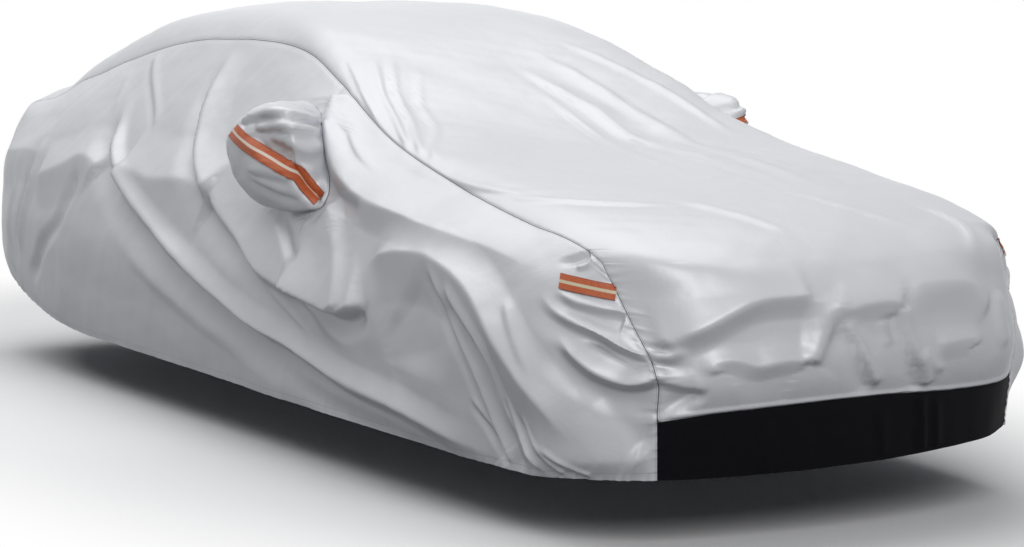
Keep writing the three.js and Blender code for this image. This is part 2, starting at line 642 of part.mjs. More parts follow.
function pocketSheet(side, panel) {
  const rim = openingRim(panel);
  const sign = sideSign[side];
  const sheet = { vertices: rim.map((i) => panel.vertices[i].clone()), faces: [] };
  const { sections, end } = POCKETS[side];
  for (const section of sections) {
    for (const [u, v] of rimPlaces) {
      const [c, s] = [-u / Math.hypot(u, v), -v / Math.hypot(u, v)];
      const size = (Math.abs(c / section.depth) ** pocketSquareness
        + Math.abs(s / section.rise) ** pocketSquareness) ** (-1 / pocketSquareness);
      const [along, up] = [c * size, s * size];
      sheet.vertices.push(new THREE.Vector3(sign * section.half, section.y + along, section.height + up));
    }
  }
  const tip = sheet.vertices.length;
  sheet.vertices.push(new THREE.Vector3(sign * end.half, end.y, end.height));
  const turn = (face) => (side === "left" ? face : turned(face));
  const n = rim.length;
  for (let k = 0; k < n; k++) {
    const next = (k + 1) % n;
    for (let ring = 0; ring < sections.length; ring++) {
      sheet.faces.push(turn([ring * n + k, ring * n + next, (ring + 1) * n + next, (ring + 1) * n + k]));
    }
    const outer = sections.length * n;
    sheet.faces.push(turn([outer + k, outer + next, tip]));
  }
  sheet.normals = faceNormals(sheet);
  rim.forEach((i, k) => {
    const shared = sheet.normals[k].clone().add(panel.normals[i]).normalize();
    sheet.normals[k] = shared;
    panel.normals[i] = shared.clone();
  });
  const ring = counting(n);
  drawBack([{ sheet, edge: ring, inner: ring.map((k) => n + k), closed: true }], pocketSeamGap);
  return sheet;
}
const pockets = { right: pocketSheet("right", right), left: pocketSheet("left", left) };

// ---- tapes ----
function toManifold(geometry) {
  const bare = new THREE.BufferGeometry();
  bare.setAttribute("position", geometry.getAttribute("position"));
  bare.setIndex(geometry.index);
  const merged = mergeVertices(bare, 1e-3);
  return new wasm.Manifold(new wasm.Mesh({
    numProp: 3,
    vertProperties: new Float32Array(merged.getAttribute("position").array),
    triVerts: new Uint32Array(merged.index.array),
  }));
}
function fromManifold(solid) {
  const mesh = solid.getMesh();
  const geometry = new THREE.BufferGeometry();
  geometry.setAttribute("position", new THREE.BufferAttribute(new Float32Array(mesh.vertProperties), 3));
  geometry.setIndex(new THREE.BufferAttribute(new Uint32Array(mesh.triVerts), 1));
  return geometry;
}

// A band of cloth cut out of a thin layer on top of a sheet.
const bandDepth = { inward: 35, outward: 120 };
function tape(sheet, route, width, side) {
  const sign = sideSign[side];
  const facing = new THREE.Vector3(sign * tapeFacing.x, tapeFacing.y, 0).normalize();
  const points = route.map((row) => new THREE.Vector3(sign * row.half, row.y, row.height));
  const across = points.map((point, i) => {
    const from = points[Math.max(i - 1, 0)];
    const to = points[Math.min(i + 1, points.length - 1)];
    return to.clone().sub(from).cross(facing).setLength(width / 2);
  });
  const edge = (share) => points.map((point, i) => point.clone().addScaledVector(across[i], share));
  const band = { vertices: [...edge(-1), ...edge(1)], faces: [] };
  const n = points.length;
  for (let i = 0; i < n - 1; i++) band.faces.push([i, i + 1, n + i + 1, n + i]);
  if (faceNormals(band)[0].dot(facing) < 0) band.faces = band.faces.map(turned);
  band.normals = band.vertices.map(() => facing);
  const cutter = toManifold(sheetSolid(band, -bandDepth.inward, bandDepth.outward));
  const layer = toManifold(sheetSolid(sheet, tapeGap, tapeGap + tapeThickness));
  return fromManifold(layer.intersect(cutter));
}

// ---- the cover ----
const cover = new THREE.Group();
cover.name = "car_cover";
cover.position.set(0, -roofTop.y, clothThickness - roofTop.height);

function add(name, geometry, colour) {
  const mesh = new THREE.Mesh(geometry, new THREE.MeshStandardMaterial(COLOURS[colour]));
  mesh.name = name;
  cover.add(mesh);
}
add("centre_panel", sheetSolid(centre, -clothThickness, 0), "silver");
add("front_skirt", sheetSolid(front, -clothThickness, 0), "black");
for (const [side, panel] of [["right", right], ["left", left]]) {
  add(`side_panel_${side}`, sheetSolid(panel, -clothThickness, 0), "silver");
  add(`mirror_pocket_${side}`, sheetSolid(pockets[side], -clothThickness, 0), "silver");
  add(`mirror_tape_${side}`, tape(pockets[side], MIRROR_TAPES[side], mirrorTapeWidth, side), "orange");
  add(`corner_tape_${side}`, tape(panel, CORNER_TAPES[side], cornerTapeWidth, side), "orange");
}

export default cover;
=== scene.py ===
# A fitted car cover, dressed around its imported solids. Metres, in the frame of the solids.
import math
from collections import namedtuple

import bpy
import numpy as np
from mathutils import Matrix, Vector
from mathutils.bvhtree import BVHTree


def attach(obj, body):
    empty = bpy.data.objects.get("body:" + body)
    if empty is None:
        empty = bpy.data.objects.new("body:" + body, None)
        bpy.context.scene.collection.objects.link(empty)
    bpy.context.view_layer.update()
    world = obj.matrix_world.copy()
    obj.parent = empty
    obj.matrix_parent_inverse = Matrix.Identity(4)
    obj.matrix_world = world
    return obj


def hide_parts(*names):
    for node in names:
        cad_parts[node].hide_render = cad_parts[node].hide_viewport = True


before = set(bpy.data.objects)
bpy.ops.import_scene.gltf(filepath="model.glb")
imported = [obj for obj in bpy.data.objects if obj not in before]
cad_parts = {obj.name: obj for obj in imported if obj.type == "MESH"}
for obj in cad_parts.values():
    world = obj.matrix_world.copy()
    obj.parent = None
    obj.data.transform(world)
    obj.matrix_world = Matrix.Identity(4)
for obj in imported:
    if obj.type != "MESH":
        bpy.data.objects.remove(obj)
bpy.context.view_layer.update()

# ---- the camera, at the photograph's angle ----
camera = bpy.data.objects.new("camera", bpy.data.cameras.new("camera"))
bpy.context.collection.objects.link(camera)
camera.location = (-4.802, -9.035, 0.176)
camera.rotation_euler = Vector((0.5045, 0.8558, -0.1146)).to_track_quat("-Z", "Y").to_euler()
camera.data.sensor_width = 36
camera.data.lens = 96.74
bpy.context.scene.camera = camera

# ---- the form ----
# The tables give heights above the ground and distances from the middle of the car.
ORIGIN = np.array([0, 0.370, 1.474])  # the origin of the solids, in the tables' terms
CLOTH = 0.0022  # how far the inner face of the cloth lies under the outer one
SIGN = {"right": -1, "left": 1}

# Seven lines run along the cover: centre, rail, seam, shoulder, waist, sill, hem.
Station = namedtuple("Station", "name y half height")
STATIONS = [
    Station("rear seam", [2.33, 2.3, 2.2, 2.37, 2.42, 2.41, 2.37],
            [0, 0.5, 0.64, 0.7, 0.735, 0.735, 0.705],
            [1.095, 1.085, 1.05, 0.93, 0.7, 0.5, 0.365]),
    Station("rear corner", [2.12, 2.1, 2.04, 2.2, 2.19, 2.17, 2.13],
            [0, 0.51, 0.63, 0.805, 0.85, 0.86, 0.835],
            [1.155, 1.14, 1.088, 0.87, 0.66, 0.46, 0.345]),
    Station("boot", [1.85, 1.83, 1.8, 1.84, 1.84, 1.84, 1.83],
            [0, 0.49, 0.61, 0.835, 0.905, 0.9, 0.88],
            [1.275, 1.25, 1.158, 0.905, 0.65, 0.43, 0.28]),
    Station("rear wheel", [1.45, 1.43, 1.405, 1.405, 1.405, 1.405, 1.405],
            [0, 0.46, 0.585, 0.835, 0.925, 0.915, 0.885],
            [1.392, 1.368, 1.252, 0.935, 0.64, 0.4, 0.212]),
    Station("rear pillar", [0.92, 0.91, 0.9, 0.9, 0.9, 0.9, 0.9],
            [0, 0.43, 0.56, 0.815, 0.925, 0.91, 0.885],
            [1.466, 1.444, 1.332, 0.95, 0.62, 0.38, 0.203]),
    Station("rear door", [0.37, 0.36, 0.35, 0.35, 0.35, 0.35, 0.35],
            [0, 0.43, 0.56, 0.815, 0.925, 0.91, 0.885],
            [1.476, 1.455, 1.352, 0.955, 0.62, 0.38, 0.2]),
    Station("front door", [-0.12, -0.11, -0.1, -0.1, -0.1, -0.1, -0.1],
            [0, 0.48, 0.58, 0.82, 0.925, 0.91, 0.885],
            [1.42, 1.405, 1.325, 0.95, 0.62, 0.38, 0.196]),
    Station("mirror", [-0.52, -0.5, -0.46, -0.45, -0.45, -0.45, -0.45],
            [0, 0.54, 0.628, 0.83, 0.93, 0.91, 0.885],
            [1.268, 1.272, 1.23, 0.94, 0.62, 0.38, 0.193]),
    Station("windscreen foot", [-1.01, -0.98, -0.93, -0.92, -0.92, -0.92, -0.92],
            [0, 0.6, 0.688, 0.855, 0.93, 0.912, 0.885],
            [1.062, 1.085, 1.07, 0.88, 0.62, 0.38, 0.188]),
    Station("front wheel", [-1.55, -1.52, -1.464, -1.464, -1.464, -1.464, -1.464],
            [0, 0.61, 0.724, 0.87, 0.93, 0.915, 0.885],
            [0.998, 0.994, 0.951, 0.8, 0.6, 0.375, 0.183]),
    Station("bonnet", [-1.98, -1.93, -1.85, -1.86, -1.86, -1.86, -1.85],
            [0, 0.61, 0.735, 0.85, 0.905, 0.895, 0.87],
            [0.94, 0.93, 0.885, 0.765, 0.58, 0.36, 0.186]),
    Station("headlamp", [-2.27, -2.2, -2.1, -2.15, -2.16, -2.15, -2.11],
            [0, 0.61, 0.732, 0.805, 0.85, 0.855, 0.84],
            [0.875, 0.87, 0.85, 0.715, 0.54, 0.35, 0.19]),
    Station("front seam", [-2.42, -2.37, -2.225, -2.325, -2.405, -2.39, -2.378],
            [0, 0.56, 0.715, 0.685, 0.65, 0.636, 0.626],
            [0.795, 0.805, 0.8, 0.65, 0.5, 0.365, 0.2]),
]
# The cloth is pulled a little to the left at the front.
LEFT_STATIONS = {
    "headlamp": Station("headlamp", [-2.27, -2.2, -2.1, -2.15, -2.17, -2.16, -2.13],
                        [0, 0.61, 0.732, 0.805, 0.845, 0.845, 0.825],
                        [0.875, 0.87, 0.85, 0.715, 0.54, 0.36, 0.205]),
    "front seam": Station("front seam", [-2.42, -2.36, -2.215, -2.3, -2.36, -2.345, -2.335],
                          [0, 0.56, 0.725, 0.725, 0.715, 0.705, 0.695],
                          [0.795, 0.805, 0.8, 0.65, 0.51, 0.392, 0.232]),
}
# Rows of the centre panel below the edges of the top, by the place on the corner seam.
Drop = namedtuple("Drop", "line centre_y centre_height rail_y rail_half rail_height")
REAR_DROP = [
    Drop(4, 2.42, 0.37, 2.4, 0.5, 0.37),
    Drop(3.2, 2.45, 0.48, 2.43, 0.5, 0.48),
    Drop(2.2, 2.465, 0.66, 2.45, 0.5, 0.66),
    Drop(1.2, 2.45, 0.85, 2.43, 0.5, 0.845),
    Drop(0.6, 2.41, 0.99, 2.39, 0.5, 0.985),
]
FRONT_DROP = [
    Drop(0.55, -2.5, 0.7, -2.43, 0.53, 0.7),
    Drop(1.3, -2.535, 0.58, -2.475, 0.5, 0.58),
    Drop(2, -2.54, 0.5, -2.49, 0.48, 0.495),
    Drop(3, -2.51, 0.402, -2.465, 0.45, 0.39),
]
SKIRT_TOP = 3  # the line where the skirt's seam meets the corner seams
SKIRT_HEM = {"centre": (0, -2.48, 0.207), "right": (-0.44, -2.437, 0.2), "left": (0.44, -2.437, 0.222)}
ACROSS = np.array([0, 0.45, 2, 3.55, 4])  # right seam, right rail, centre, left rail, left seam
LAST = len(STATIONS) - 1
REAR_ROWS = len(REAR_DROP)


def smooth(x):
    """From 0 to 1 as x goes from 0 to 1, level at both ends."""
    t = np.clip(x, 0, 1)
    return t * t * (3 - 2 * t)


def shares(knots, at):
    """How much each knot's point counts at each place of a smooth curve through them all."""
    knots = np.asarray(knots, float)
    count = len(knots)
    at = np.clip(np.asarray(at, float), knots[0], knots[-1])
    i = np.clip(np.searchsorted(knots, at, side="right") - 1, 0, count - 2)
    span = knots[i + 1] - knots[i]
    f = (at - knots[i]) / span
    unit = np.eye(count)
    slope = np.zeros((count, count))
    slope[1:-1] = (unit[2:] - unit[:-2]) / (knots[2:] - knots[:-2])[:, None]
    slope[0] = 2 * (unit[1] - unit[0]) / (knots[1] - knots[0]) - slope[1]
    slope[-1] = 2 * (unit[-1] - unit[-2]) / (knots[-1] - knots[-2]) - slope[-2]
    f, span = f[:, None], span[:, None]
    return ((2 * f**3 - 3 * f**2 + 1) * unit[i] + (f**3 - 2 * f**2 + f) * span * slope[i]
            + (3 * f**2 - 2 * f**3) * unit[i + 1] + (f**3 - f**2) * span * slope[i + 1])


def through(points, at, knots=None):
    """A smooth curve through points: (knot, 3), or (place, knot, 3) for a curve of its own at each place."""
    points = np.asarray(points, float)
    if knots is None:
        knots = np.arange(points.shape[-2])
    weight = shares(knots, at)
    return np.einsum("pk,kc->pc" if points.ndim == 2 else "pk,pkc->pc", weight, points)


def station_points(side):
    """One point for each station and line of a side."""
    rows = [LEFT_STATIONS.get(s.name, s) if side == "left" else s for s in STATIONS]
    return np.array([np.stack([s.half, s.y, s.height], -1) for s in rows])


LINES = {side: station_points(side) for side in SIGN}


def side_point(side, station, line):
    """Points of a side panel: station 0 to 12 from the rear, line 0 at the seam to 4 at the hem."""
    weight = shares(np.arange(LAST + 1), station)
    section = np.einsum("ps,slc->plc", weight, LINES[side][:, 2:])
    point = through(section, line)
    return point * (SIGN[side], 1, 1)


def drop_row(row, station):
    """A row of the centre panel: its station and line, its point at the centre and the one at the rail."""
    centre = (0, row.centre_y, row.centre_height)
    return station, row.line, centre, (row.rail_half, row.rail_y, row.rail_height)


CENTRE_ROWS = (
    [drop_row(row, 0) for row in REAR_DROP]
    + [(i, 0, LINES["right"][i, 0], LINES["right"][i, 1]) for i in range(LAST + 1)]
    + [drop_row(row, LAST) for row in FRONT_DROP]
)
LAST_ROW = len(CENTRE_ROWS) - 1
ROW_STATION = np.array([row[0] for row in CENTRE_ROWS], float)
ROW_LINE = np.array([row[1] for row in CENTRE_ROWS], float)


def centre_point(row, across):
    """Points of the centre panel: row from the rear hem to the skirt, across 0 to 4 from right to left."""
    rows = np.arange(LAST_ROW + 1)
    station, line = np.interp(row, rows, ROW_STATION), np.interp(row, rows, ROW_LINE)
    centre = through([r[2] for r in CENTRE_ROWS], row)
    rail = through([r[3] for r in CENTRE_ROWS], row)
    right, left = (side_point(side, station, line) for side in ("right", "left"))
    return through(np.stack([right, rail * (-1, 1, 1), centre, rail, left], 1), across, ACROSS)


def skirt_point(line, across):
    """Points of the black skirt, which hangs below the last row of the centre panel."""
    ends = {side: side_point(side, [LAST, LAST], [SKIRT_TOP, 4]) for side in SIGN}
    hem = [ends["right"][1], SKIRT_HEM["right"], SKIRT_HEM["centre"], SKIRT_HEM["left"], ends["left"][1]]
    down = (line - SKIRT_TOP)[:, None]
    top = centre_point(np.full_like(across, LAST_ROW), across)
    point = top * (1 - down) + through(hem, across, ACROSS) * down
    for side, near in (("right", across < 2), ("left", across >= 2)):
        on_seam = side_point(side, np.full_like(line, LAST), line)
        straight = ends[side][0] * (1 - down) + ends[side][1] * down
        point += (on_seam - straight) * (near * smooth(np.abs(across - 2) - 1))[:, None]
    return point


# ---- the mouth of a mirror pocket, in a side panel's stations and lines ----
MOUTH = {"station": 7.14, "line": 0.78, "half_stations": 0.42, "half_lines": 0.46, "lean": 0.85,
         "station_reach": 4, "line_reach": 1.4, "squareness": 2.6}
MOUTH_CELLS = 44


def round_mouth(station, line):
    """Bends the grid so that the square block around the mouth takes its leaning round form."""
    u = (station - MOUTH["station"]) / MOUTH["half_stations"]
    v = (line - MOUTH["line"]) / MOUTH["half_lines"]
    outside = np.maximum(np.maximum((abs(u) - 1) / (MOUTH["station_reach"] - 1),
                                    (abs(v) - 1) / (MOUTH["line_reach"] - 1)), 0)
    share = 1 - smooth(outside)
    power = (abs(u) ** MOUTH["squareness"] + abs(v) ** MOUTH["squareness"]) ** (1 / MOUTH["squareness"])
    rounding = np.where(power > 0, np.maximum(abs(u), abs(v)) / np.maximum(power, 1e-9), 1)
    new_u = u * rounding + MOUTH["lean"] * v * rounding
    new_v = v * rounding
    return (station + (new_u - u) * MOUTH["half_stations"] * share,
            line + (new_v - v) * MOUTH["half_lines"] * share)


# ---- folds ----
# height: how far the fold stands out of the cloth, below 0 for a trough. before, after: how wide
# its flanks are on the right and on the left of the path as it runs, seen from outside. under: how
# deep the cloth dips beyond the flank before, as a share of the height. crest: how round its top is.
# fades: the parts of its length over which it rises and dies out.
Fold = namedtuple("Fold", "name height before under after crest fades at")
RIGHT_FOLDS = [
    # the long fold that starts at the rail over the rear door
    Fold("rail fold", 0.031, 0.045, 0.55, 0.16, 0.006, (0.1, 0.22),
         [(4.75, 0.05), (4.9, 0.5), (5, 0.72), (5.2, 1), (5.55, 1.25), (5.95, 1.5), (6.6, 1.75), (7.05, 2),
          (7.6, 2.2), (8, 2.5), (8.35, 2.75)]),
    Fold("rail fold's foot", 0.006, 0.015, 0.2, 0.015, 0.004, (0.3, 0.3),
         [(6.9, 2.08), (7.3, 2.37), (7.55, 2.57), (7.8, 2.8)]),
    # the long fold that runs from the rear door to the hem
    Fold("hem fold", 0.036, 0.055, 0.7, 0.065, 0.006, (0.16, 0.2),
         [(3.5, 0.45), (3.68, 0.8), (3.8, 1.05), (3.95, 1.22), (4.3, 1.47), (4.85, 1.82), (5.4, 2.11),
          (6.1, 2.43), (6.9, 2.74), (7.5, 2.92), (8.1, 3.2), (8.9, 3.42), (9.6, 3.7), (10.3, 3.86)]),
    Fold("second hem fold", 0.01, 0.05, 0, 0.08, 0.014, (0.3, 0.3),
         [(4.2, 1.95), (4.6, 2.3), (5.2, 2.7), (6, 3.1), (6.9, 3.42)]),
    Fold("third hem fold", 0.009, 0.045, 0.2, 0.07, 0.01, (0.3, 0.2),
         [(7.2, 3.25), (7.9, 3.55), (8.7, 3.75), (9.4, 3.92)]),
    Fold("short rail fold", 0.008, 0.014, 0.6, 0.045, 0.003, (0.05, 0.3),
         [(3.5, 0.08), (3.72, 0.31), (3.95, 0.5), (4.17, 0.7), (4.3, 0.92)]),
    Fold("faint rail fold", 0.005, 0.02, 0, 0.04, 0.008, (0.3, 0.3),
         [(3.15, 0.15), (3.3, 0.4), (3.4, 0.7)]),
    # the rear corner, and the tent over the rear wheel
    Fold("boot edge", 0.03, 0.13, 0, 0.13, 0.035, (0, 0.6),
         [(0, 0.42), (0.5, 0.44), (1.1, 0.46), (1.6, 0.42)]),
    Fold("rear crease", 0.014, 0.022, 0.6, 0.06, 0.004, (0.2, 0.25),
         [(2.3, 0.92), (2.27, 1.16), (2.25, 1.48), (2.18, 1.8), (2.08, 2.2), (2, 2.55), (1.9, 2.85)]),
    Fold("second rear crease", -0.017, 0.04, 0, 0.045, 0.01, (0.15, 0.2),
         [(3.32, 1.28), (3.25, 1.55), (3.15, 1.8), (3, 2.12), (2.65, 2.5), (2.4, 3), (2.2, 3.4)]),
    Fold("third rear crease", 0.01, 0.02, 0.3, 0.04, 0.005, (0.2, 0.2),
         [(1.75, 1.45), (1.6, 2.1), (1.55, 2.8), (1.65, 3.5)]),
    Fold("rear shoulder", 0.02, 0.14, 0, 0.16, 0.005, (0.2, 0.15),
         [(0.9, 1.1), (1.5, 1.1), (2, 1.12), (2.28, 1.18)]),
    Fold("tent shoulder", 0.03, 0.15, 0, 0.14, 0.006, (0.15, 0.05),
         [(2.4, 1.5), (2.7, 1.42), (3.05, 1.3), (3.3, 1.18), (3.48, 1.2), (3.62, 1.3)]),
    Fold("door shoulder", 0.036, 0.19, 0, 0.18, 0.005, (0.08, 0.06),
         [(4.05, 1.2), (4.3, 1.27), (4.65, 1.31), (5.15, 1.27), (5.45, 1.32), (5.65, 1.4)]),
    # below the mirror
    Fold("patch under the mirror", 0.044, 0.03, 0.5, 0.17, 0.004, (0.18, 0.1),
         [(7.4, 2.06), (7.72, 2.15), (8.05, 2.24), (8.28, 2.27), (8.52, 2.04)]),
    Fold("crease under the mirror", 0.016, 0.12, 0, 0.06, 0.003, (0.08, 0.04),
         [(7.78, 1.12), (7.92, 1.28), (8.06, 1.5), (8.2, 1.86), (8.28, 2.25)]),
    Fold("hollow under the mirror", -0.016, 0.03, 0, 0.05, 0.006, (0.2, 0.2),
         [(7.1, 1.38), (7.32, 1.58), (7.5, 1.75), (7.66, 1.74)]),
    Fold("wrinkle under the mirror", 0.004, 0.008, 0.8, 0.012, 0.003, (0.2, 0.4),
         [(6.9, 1.34), (7.1, 1.42), (7.28, 1.52)]),
    Fold("second wrinkle under the mirror", 0.004, 0.008, 0.8, 0.012, 0.003, (0.2, 0.4),
         [(7.6, 1.22), (7.56, 1.45), (7.5, 1.66)]),
    # the wing and the front wheel
    Fold("dart seam", -0.006, 0.008, 0, 0.008, 0.002, (0.1, 0.2), [(7.1, 0.02), (7.06, 0.17), (7.1, 0.32)]),
    Fold("wing crest", 0.036, 0.08, 0.35, 0.15, 0.006, (0.05, 0.35),
         [(7.12, 0.05), (7.2, 0.25), (7.34, 0.4), (7.5, 0.53), (7.68, 0.65), (7.92, 0.77), (8.3, 0.87),
          (8.8, 0.8), (9.45, 0.75), (10.2, 0.77), (10.6, 0.8)]),
    Fold("hollow by the mirror", -0.024, 0.05, 0, 0.026, 0.005, (0.3, 0.2),
         [(7.45, 0.62), (7.62, 0.8), (7.85, 0.94), (8.1, 0.99), (8.32, 0.94)]),
    Fold("wrinkle over the wing", 0.005, 0.016, 0.4, 0.03, 0.004, (0.2, 0.4),
         [(7.38, 0.12), (7.62, 0.28), (7.9, 0.4), (8.3, 0.46)]),
    Fold("wheel arch crest", 0.046, 0.15, 0.3, 0.1, 0.005, (0.14, 0.25),
         [(8.45, 1.66), (8.62, 1.45), (8.8, 1.3), (9.05, 1.2), (9.28, 1.2), (9.62, 1.32), (9.93, 1.53),
          (10.3, 1.92), (10.7, 2.33), (11, 2.7), (11.18, 3.05), (11.36, 3.38)]),
    Fold("wheel arch hollow", -0.016, 0.2, 0, 0.2, 0.04, (0.2, 0.3), [(8.9, 1.8), (9.1, 2.3), (9.15, 2.9)]),
    Fold("fan fold", 0.012, 0.018, 0.9, 0.04, 0.003, (0.16, 0.12),
         [(9.22, 1.28), (9.36, 1.5), (9.5, 1.78), (9.56, 1.97), (9.74, 2.3), (9.9, 2.6), (10.04, 2.96),
          (10.14, 3.23), (10.32, 3.57), (10.52, 3.85)]),
    Fold("second fan fold", 0.014, 0.035, 0.8, 0.035, 0.005, (0.1, 0.1),
         [(9.5, 1.48), (9.68, 1.73), (9.95, 2.03), (10.17, 2.3), (10.28, 2.6), (10.4, 2.95), (10.58, 3.26),
          (10.73, 3.54), (10.9, 3.84)]),
    Fold("third fan fold", 0.007, 0.011, 1, 0.014, 0.003, (0.2, 0.08),
         [(9.8, 2.9), (10, 3.2), (10.22, 3.52), (10.45, 3.86)]),
    Fold("fourth fan fold", 0.0075, 0.011, 1, 0.014, 0.003, (0.2, 0.08),
         [(10.42, 2.7), (10.55, 3.05), (10.72, 3.4), (11, 3.86)]),
    Fold("fifth fan fold", 0.007, 0.011, 1, 0.014, 0.003, (0.2, 0.08),
         [(10.66, 2.9), (10.85, 3.25), (11.05, 3.6), (11.26, 3.92)]),
    Fold("sixth fan fold", 0.007, 0.02, 0.3, 0.04, 0.005, (0.2, 0.3),
         [(10.3, 1.4), (10.5, 1.72), (10.72, 2.05), (10.9, 2.35)]),
    Fold("low fan fold", 0.006, 0.011, 1, 0.014, 0.003, (0.3, 0.06),
         [(10.95, 3.35), (11.2, 3.65), (11.5, 3.93)]),
    # the front corner
    Fold("corner ridge", 0.019, 0.024, 0.7, 0.032, 0.004, (0.35, 0),
         [(10.7, 1.08), (10.88, 1.25), (11.04, 1.33), (11.26, 1.39), (11.45, 1.43), (11.6, 1.49),
          (11.75, 1.58), (11.88, 1.62), (12, 1.57)]),
    Fold("corner valley", -0.018, 0.026, 0, 0.014, 0.004, (0.3, 0),
         [(11.3, 1.53), (11.5, 1.57), (11.7, 1.68), (11.88, 1.75), (12, 1.74)]),
    Fold("second corner ridge", 0.022, 0.03, 0.8, 0.05, 0.004, (0.25, 0),
         [(11.05, 1.62), (11.2, 1.82), (11.35, 1.98), (11.48, 2.1), (11.63, 2.2), (11.77, 2.22),
          (11.9, 2.13), (12, 1.98)]),
    Fold("hem roll", 0.02, 0.055, 0, 0.2, 0.02, (0.25, 0.25),
         [(10.7, 3.5), (11, 3.6), (11.4, 3.62), (11.75, 3.6), (12, 3.5)]),
    Fold("hollow of the corner", -0.022, 0.11, 0, 0.11, 0.02, (0.3, 0.2),
         [(11.35, 2.2), (11.5, 2.46), (11.62, 2.72), (11.75, 3), (11.87, 3.3), (11.95, 3.5)]),
    Fold("ridge under the tape", 0.009, 0.022, 1.2, 0.016, 0.004, (0.15, 0.05),
         [(10.92, 0.98), (11.2, 1.05), (11.4, 1.03), (11.66, 0.98), (11.85, 0.92), (12, 0.9)]),
    Fold("ridge over the tape", 0.007, 0.012, 0.2, 0.012, 0.003, (0.2, 0.1),
         [(11.15, 0.47), (11.4, 0.3), (11.6, 0.05)]),
    Fold("hollow over the tape", -0.011, 0.018, 0, 0.02, 0.004, (0.3, 0.1),
         [(10.8, 0.55), (11.1, 0.36), (11.35, 0.16), (11.5, 0.04)]),
]
# The hidden side hangs in much the same folds, a little flatter, further ahead and lower.
LEFT_HEIGHT = 0.9
LEFT_AHEAD, AHEAD_UNTIL = 0.06, 11  # in stations; from the second one on, nothing is moved ahead
LEFT_LOWER, LOWER_FROM = 0.05, 0.5  # in lines; down to the second one, nothing is moved lower
LEFT_LOWEST = 3.93  # none of them is moved below this line
NOT_ON_LEFT = ("faint rail fold", "rail fold's foot", "third hem fold", "third rear crease",
               "sixth fan fold", "corner ridge", "corner valley", "second corner ridge", "hem roll",
               "hollow of the corner")


def shifted_left(station, line):
    """Where a point of a fold of the right side lies on the left one."""
    return (station + LEFT_AHEAD * (station < AHEAD_UNTIL),
            min(line + LEFT_LOWER * (line > LOWER_FROM), LEFT_LOWEST))


LEFT_FOLDS = [
    fold._replace(height=LEFT_HEIGHT * fold.height, at=[shifted_left(*point) for point in fold.at])
    for fold in RIGHT_FOLDS if fold.name not in NOT_ON_LEFT
]
LEFT_FOLDS.append(Fold("front corner hollow", -0.034, 0.22, 0, 0.22, 0.08, (0.3, 0),
                       [(11.92, 0.1), (11.9, 0.8), (11.85, 1.6), (11.75, 2.6), (11.75, 4)]))
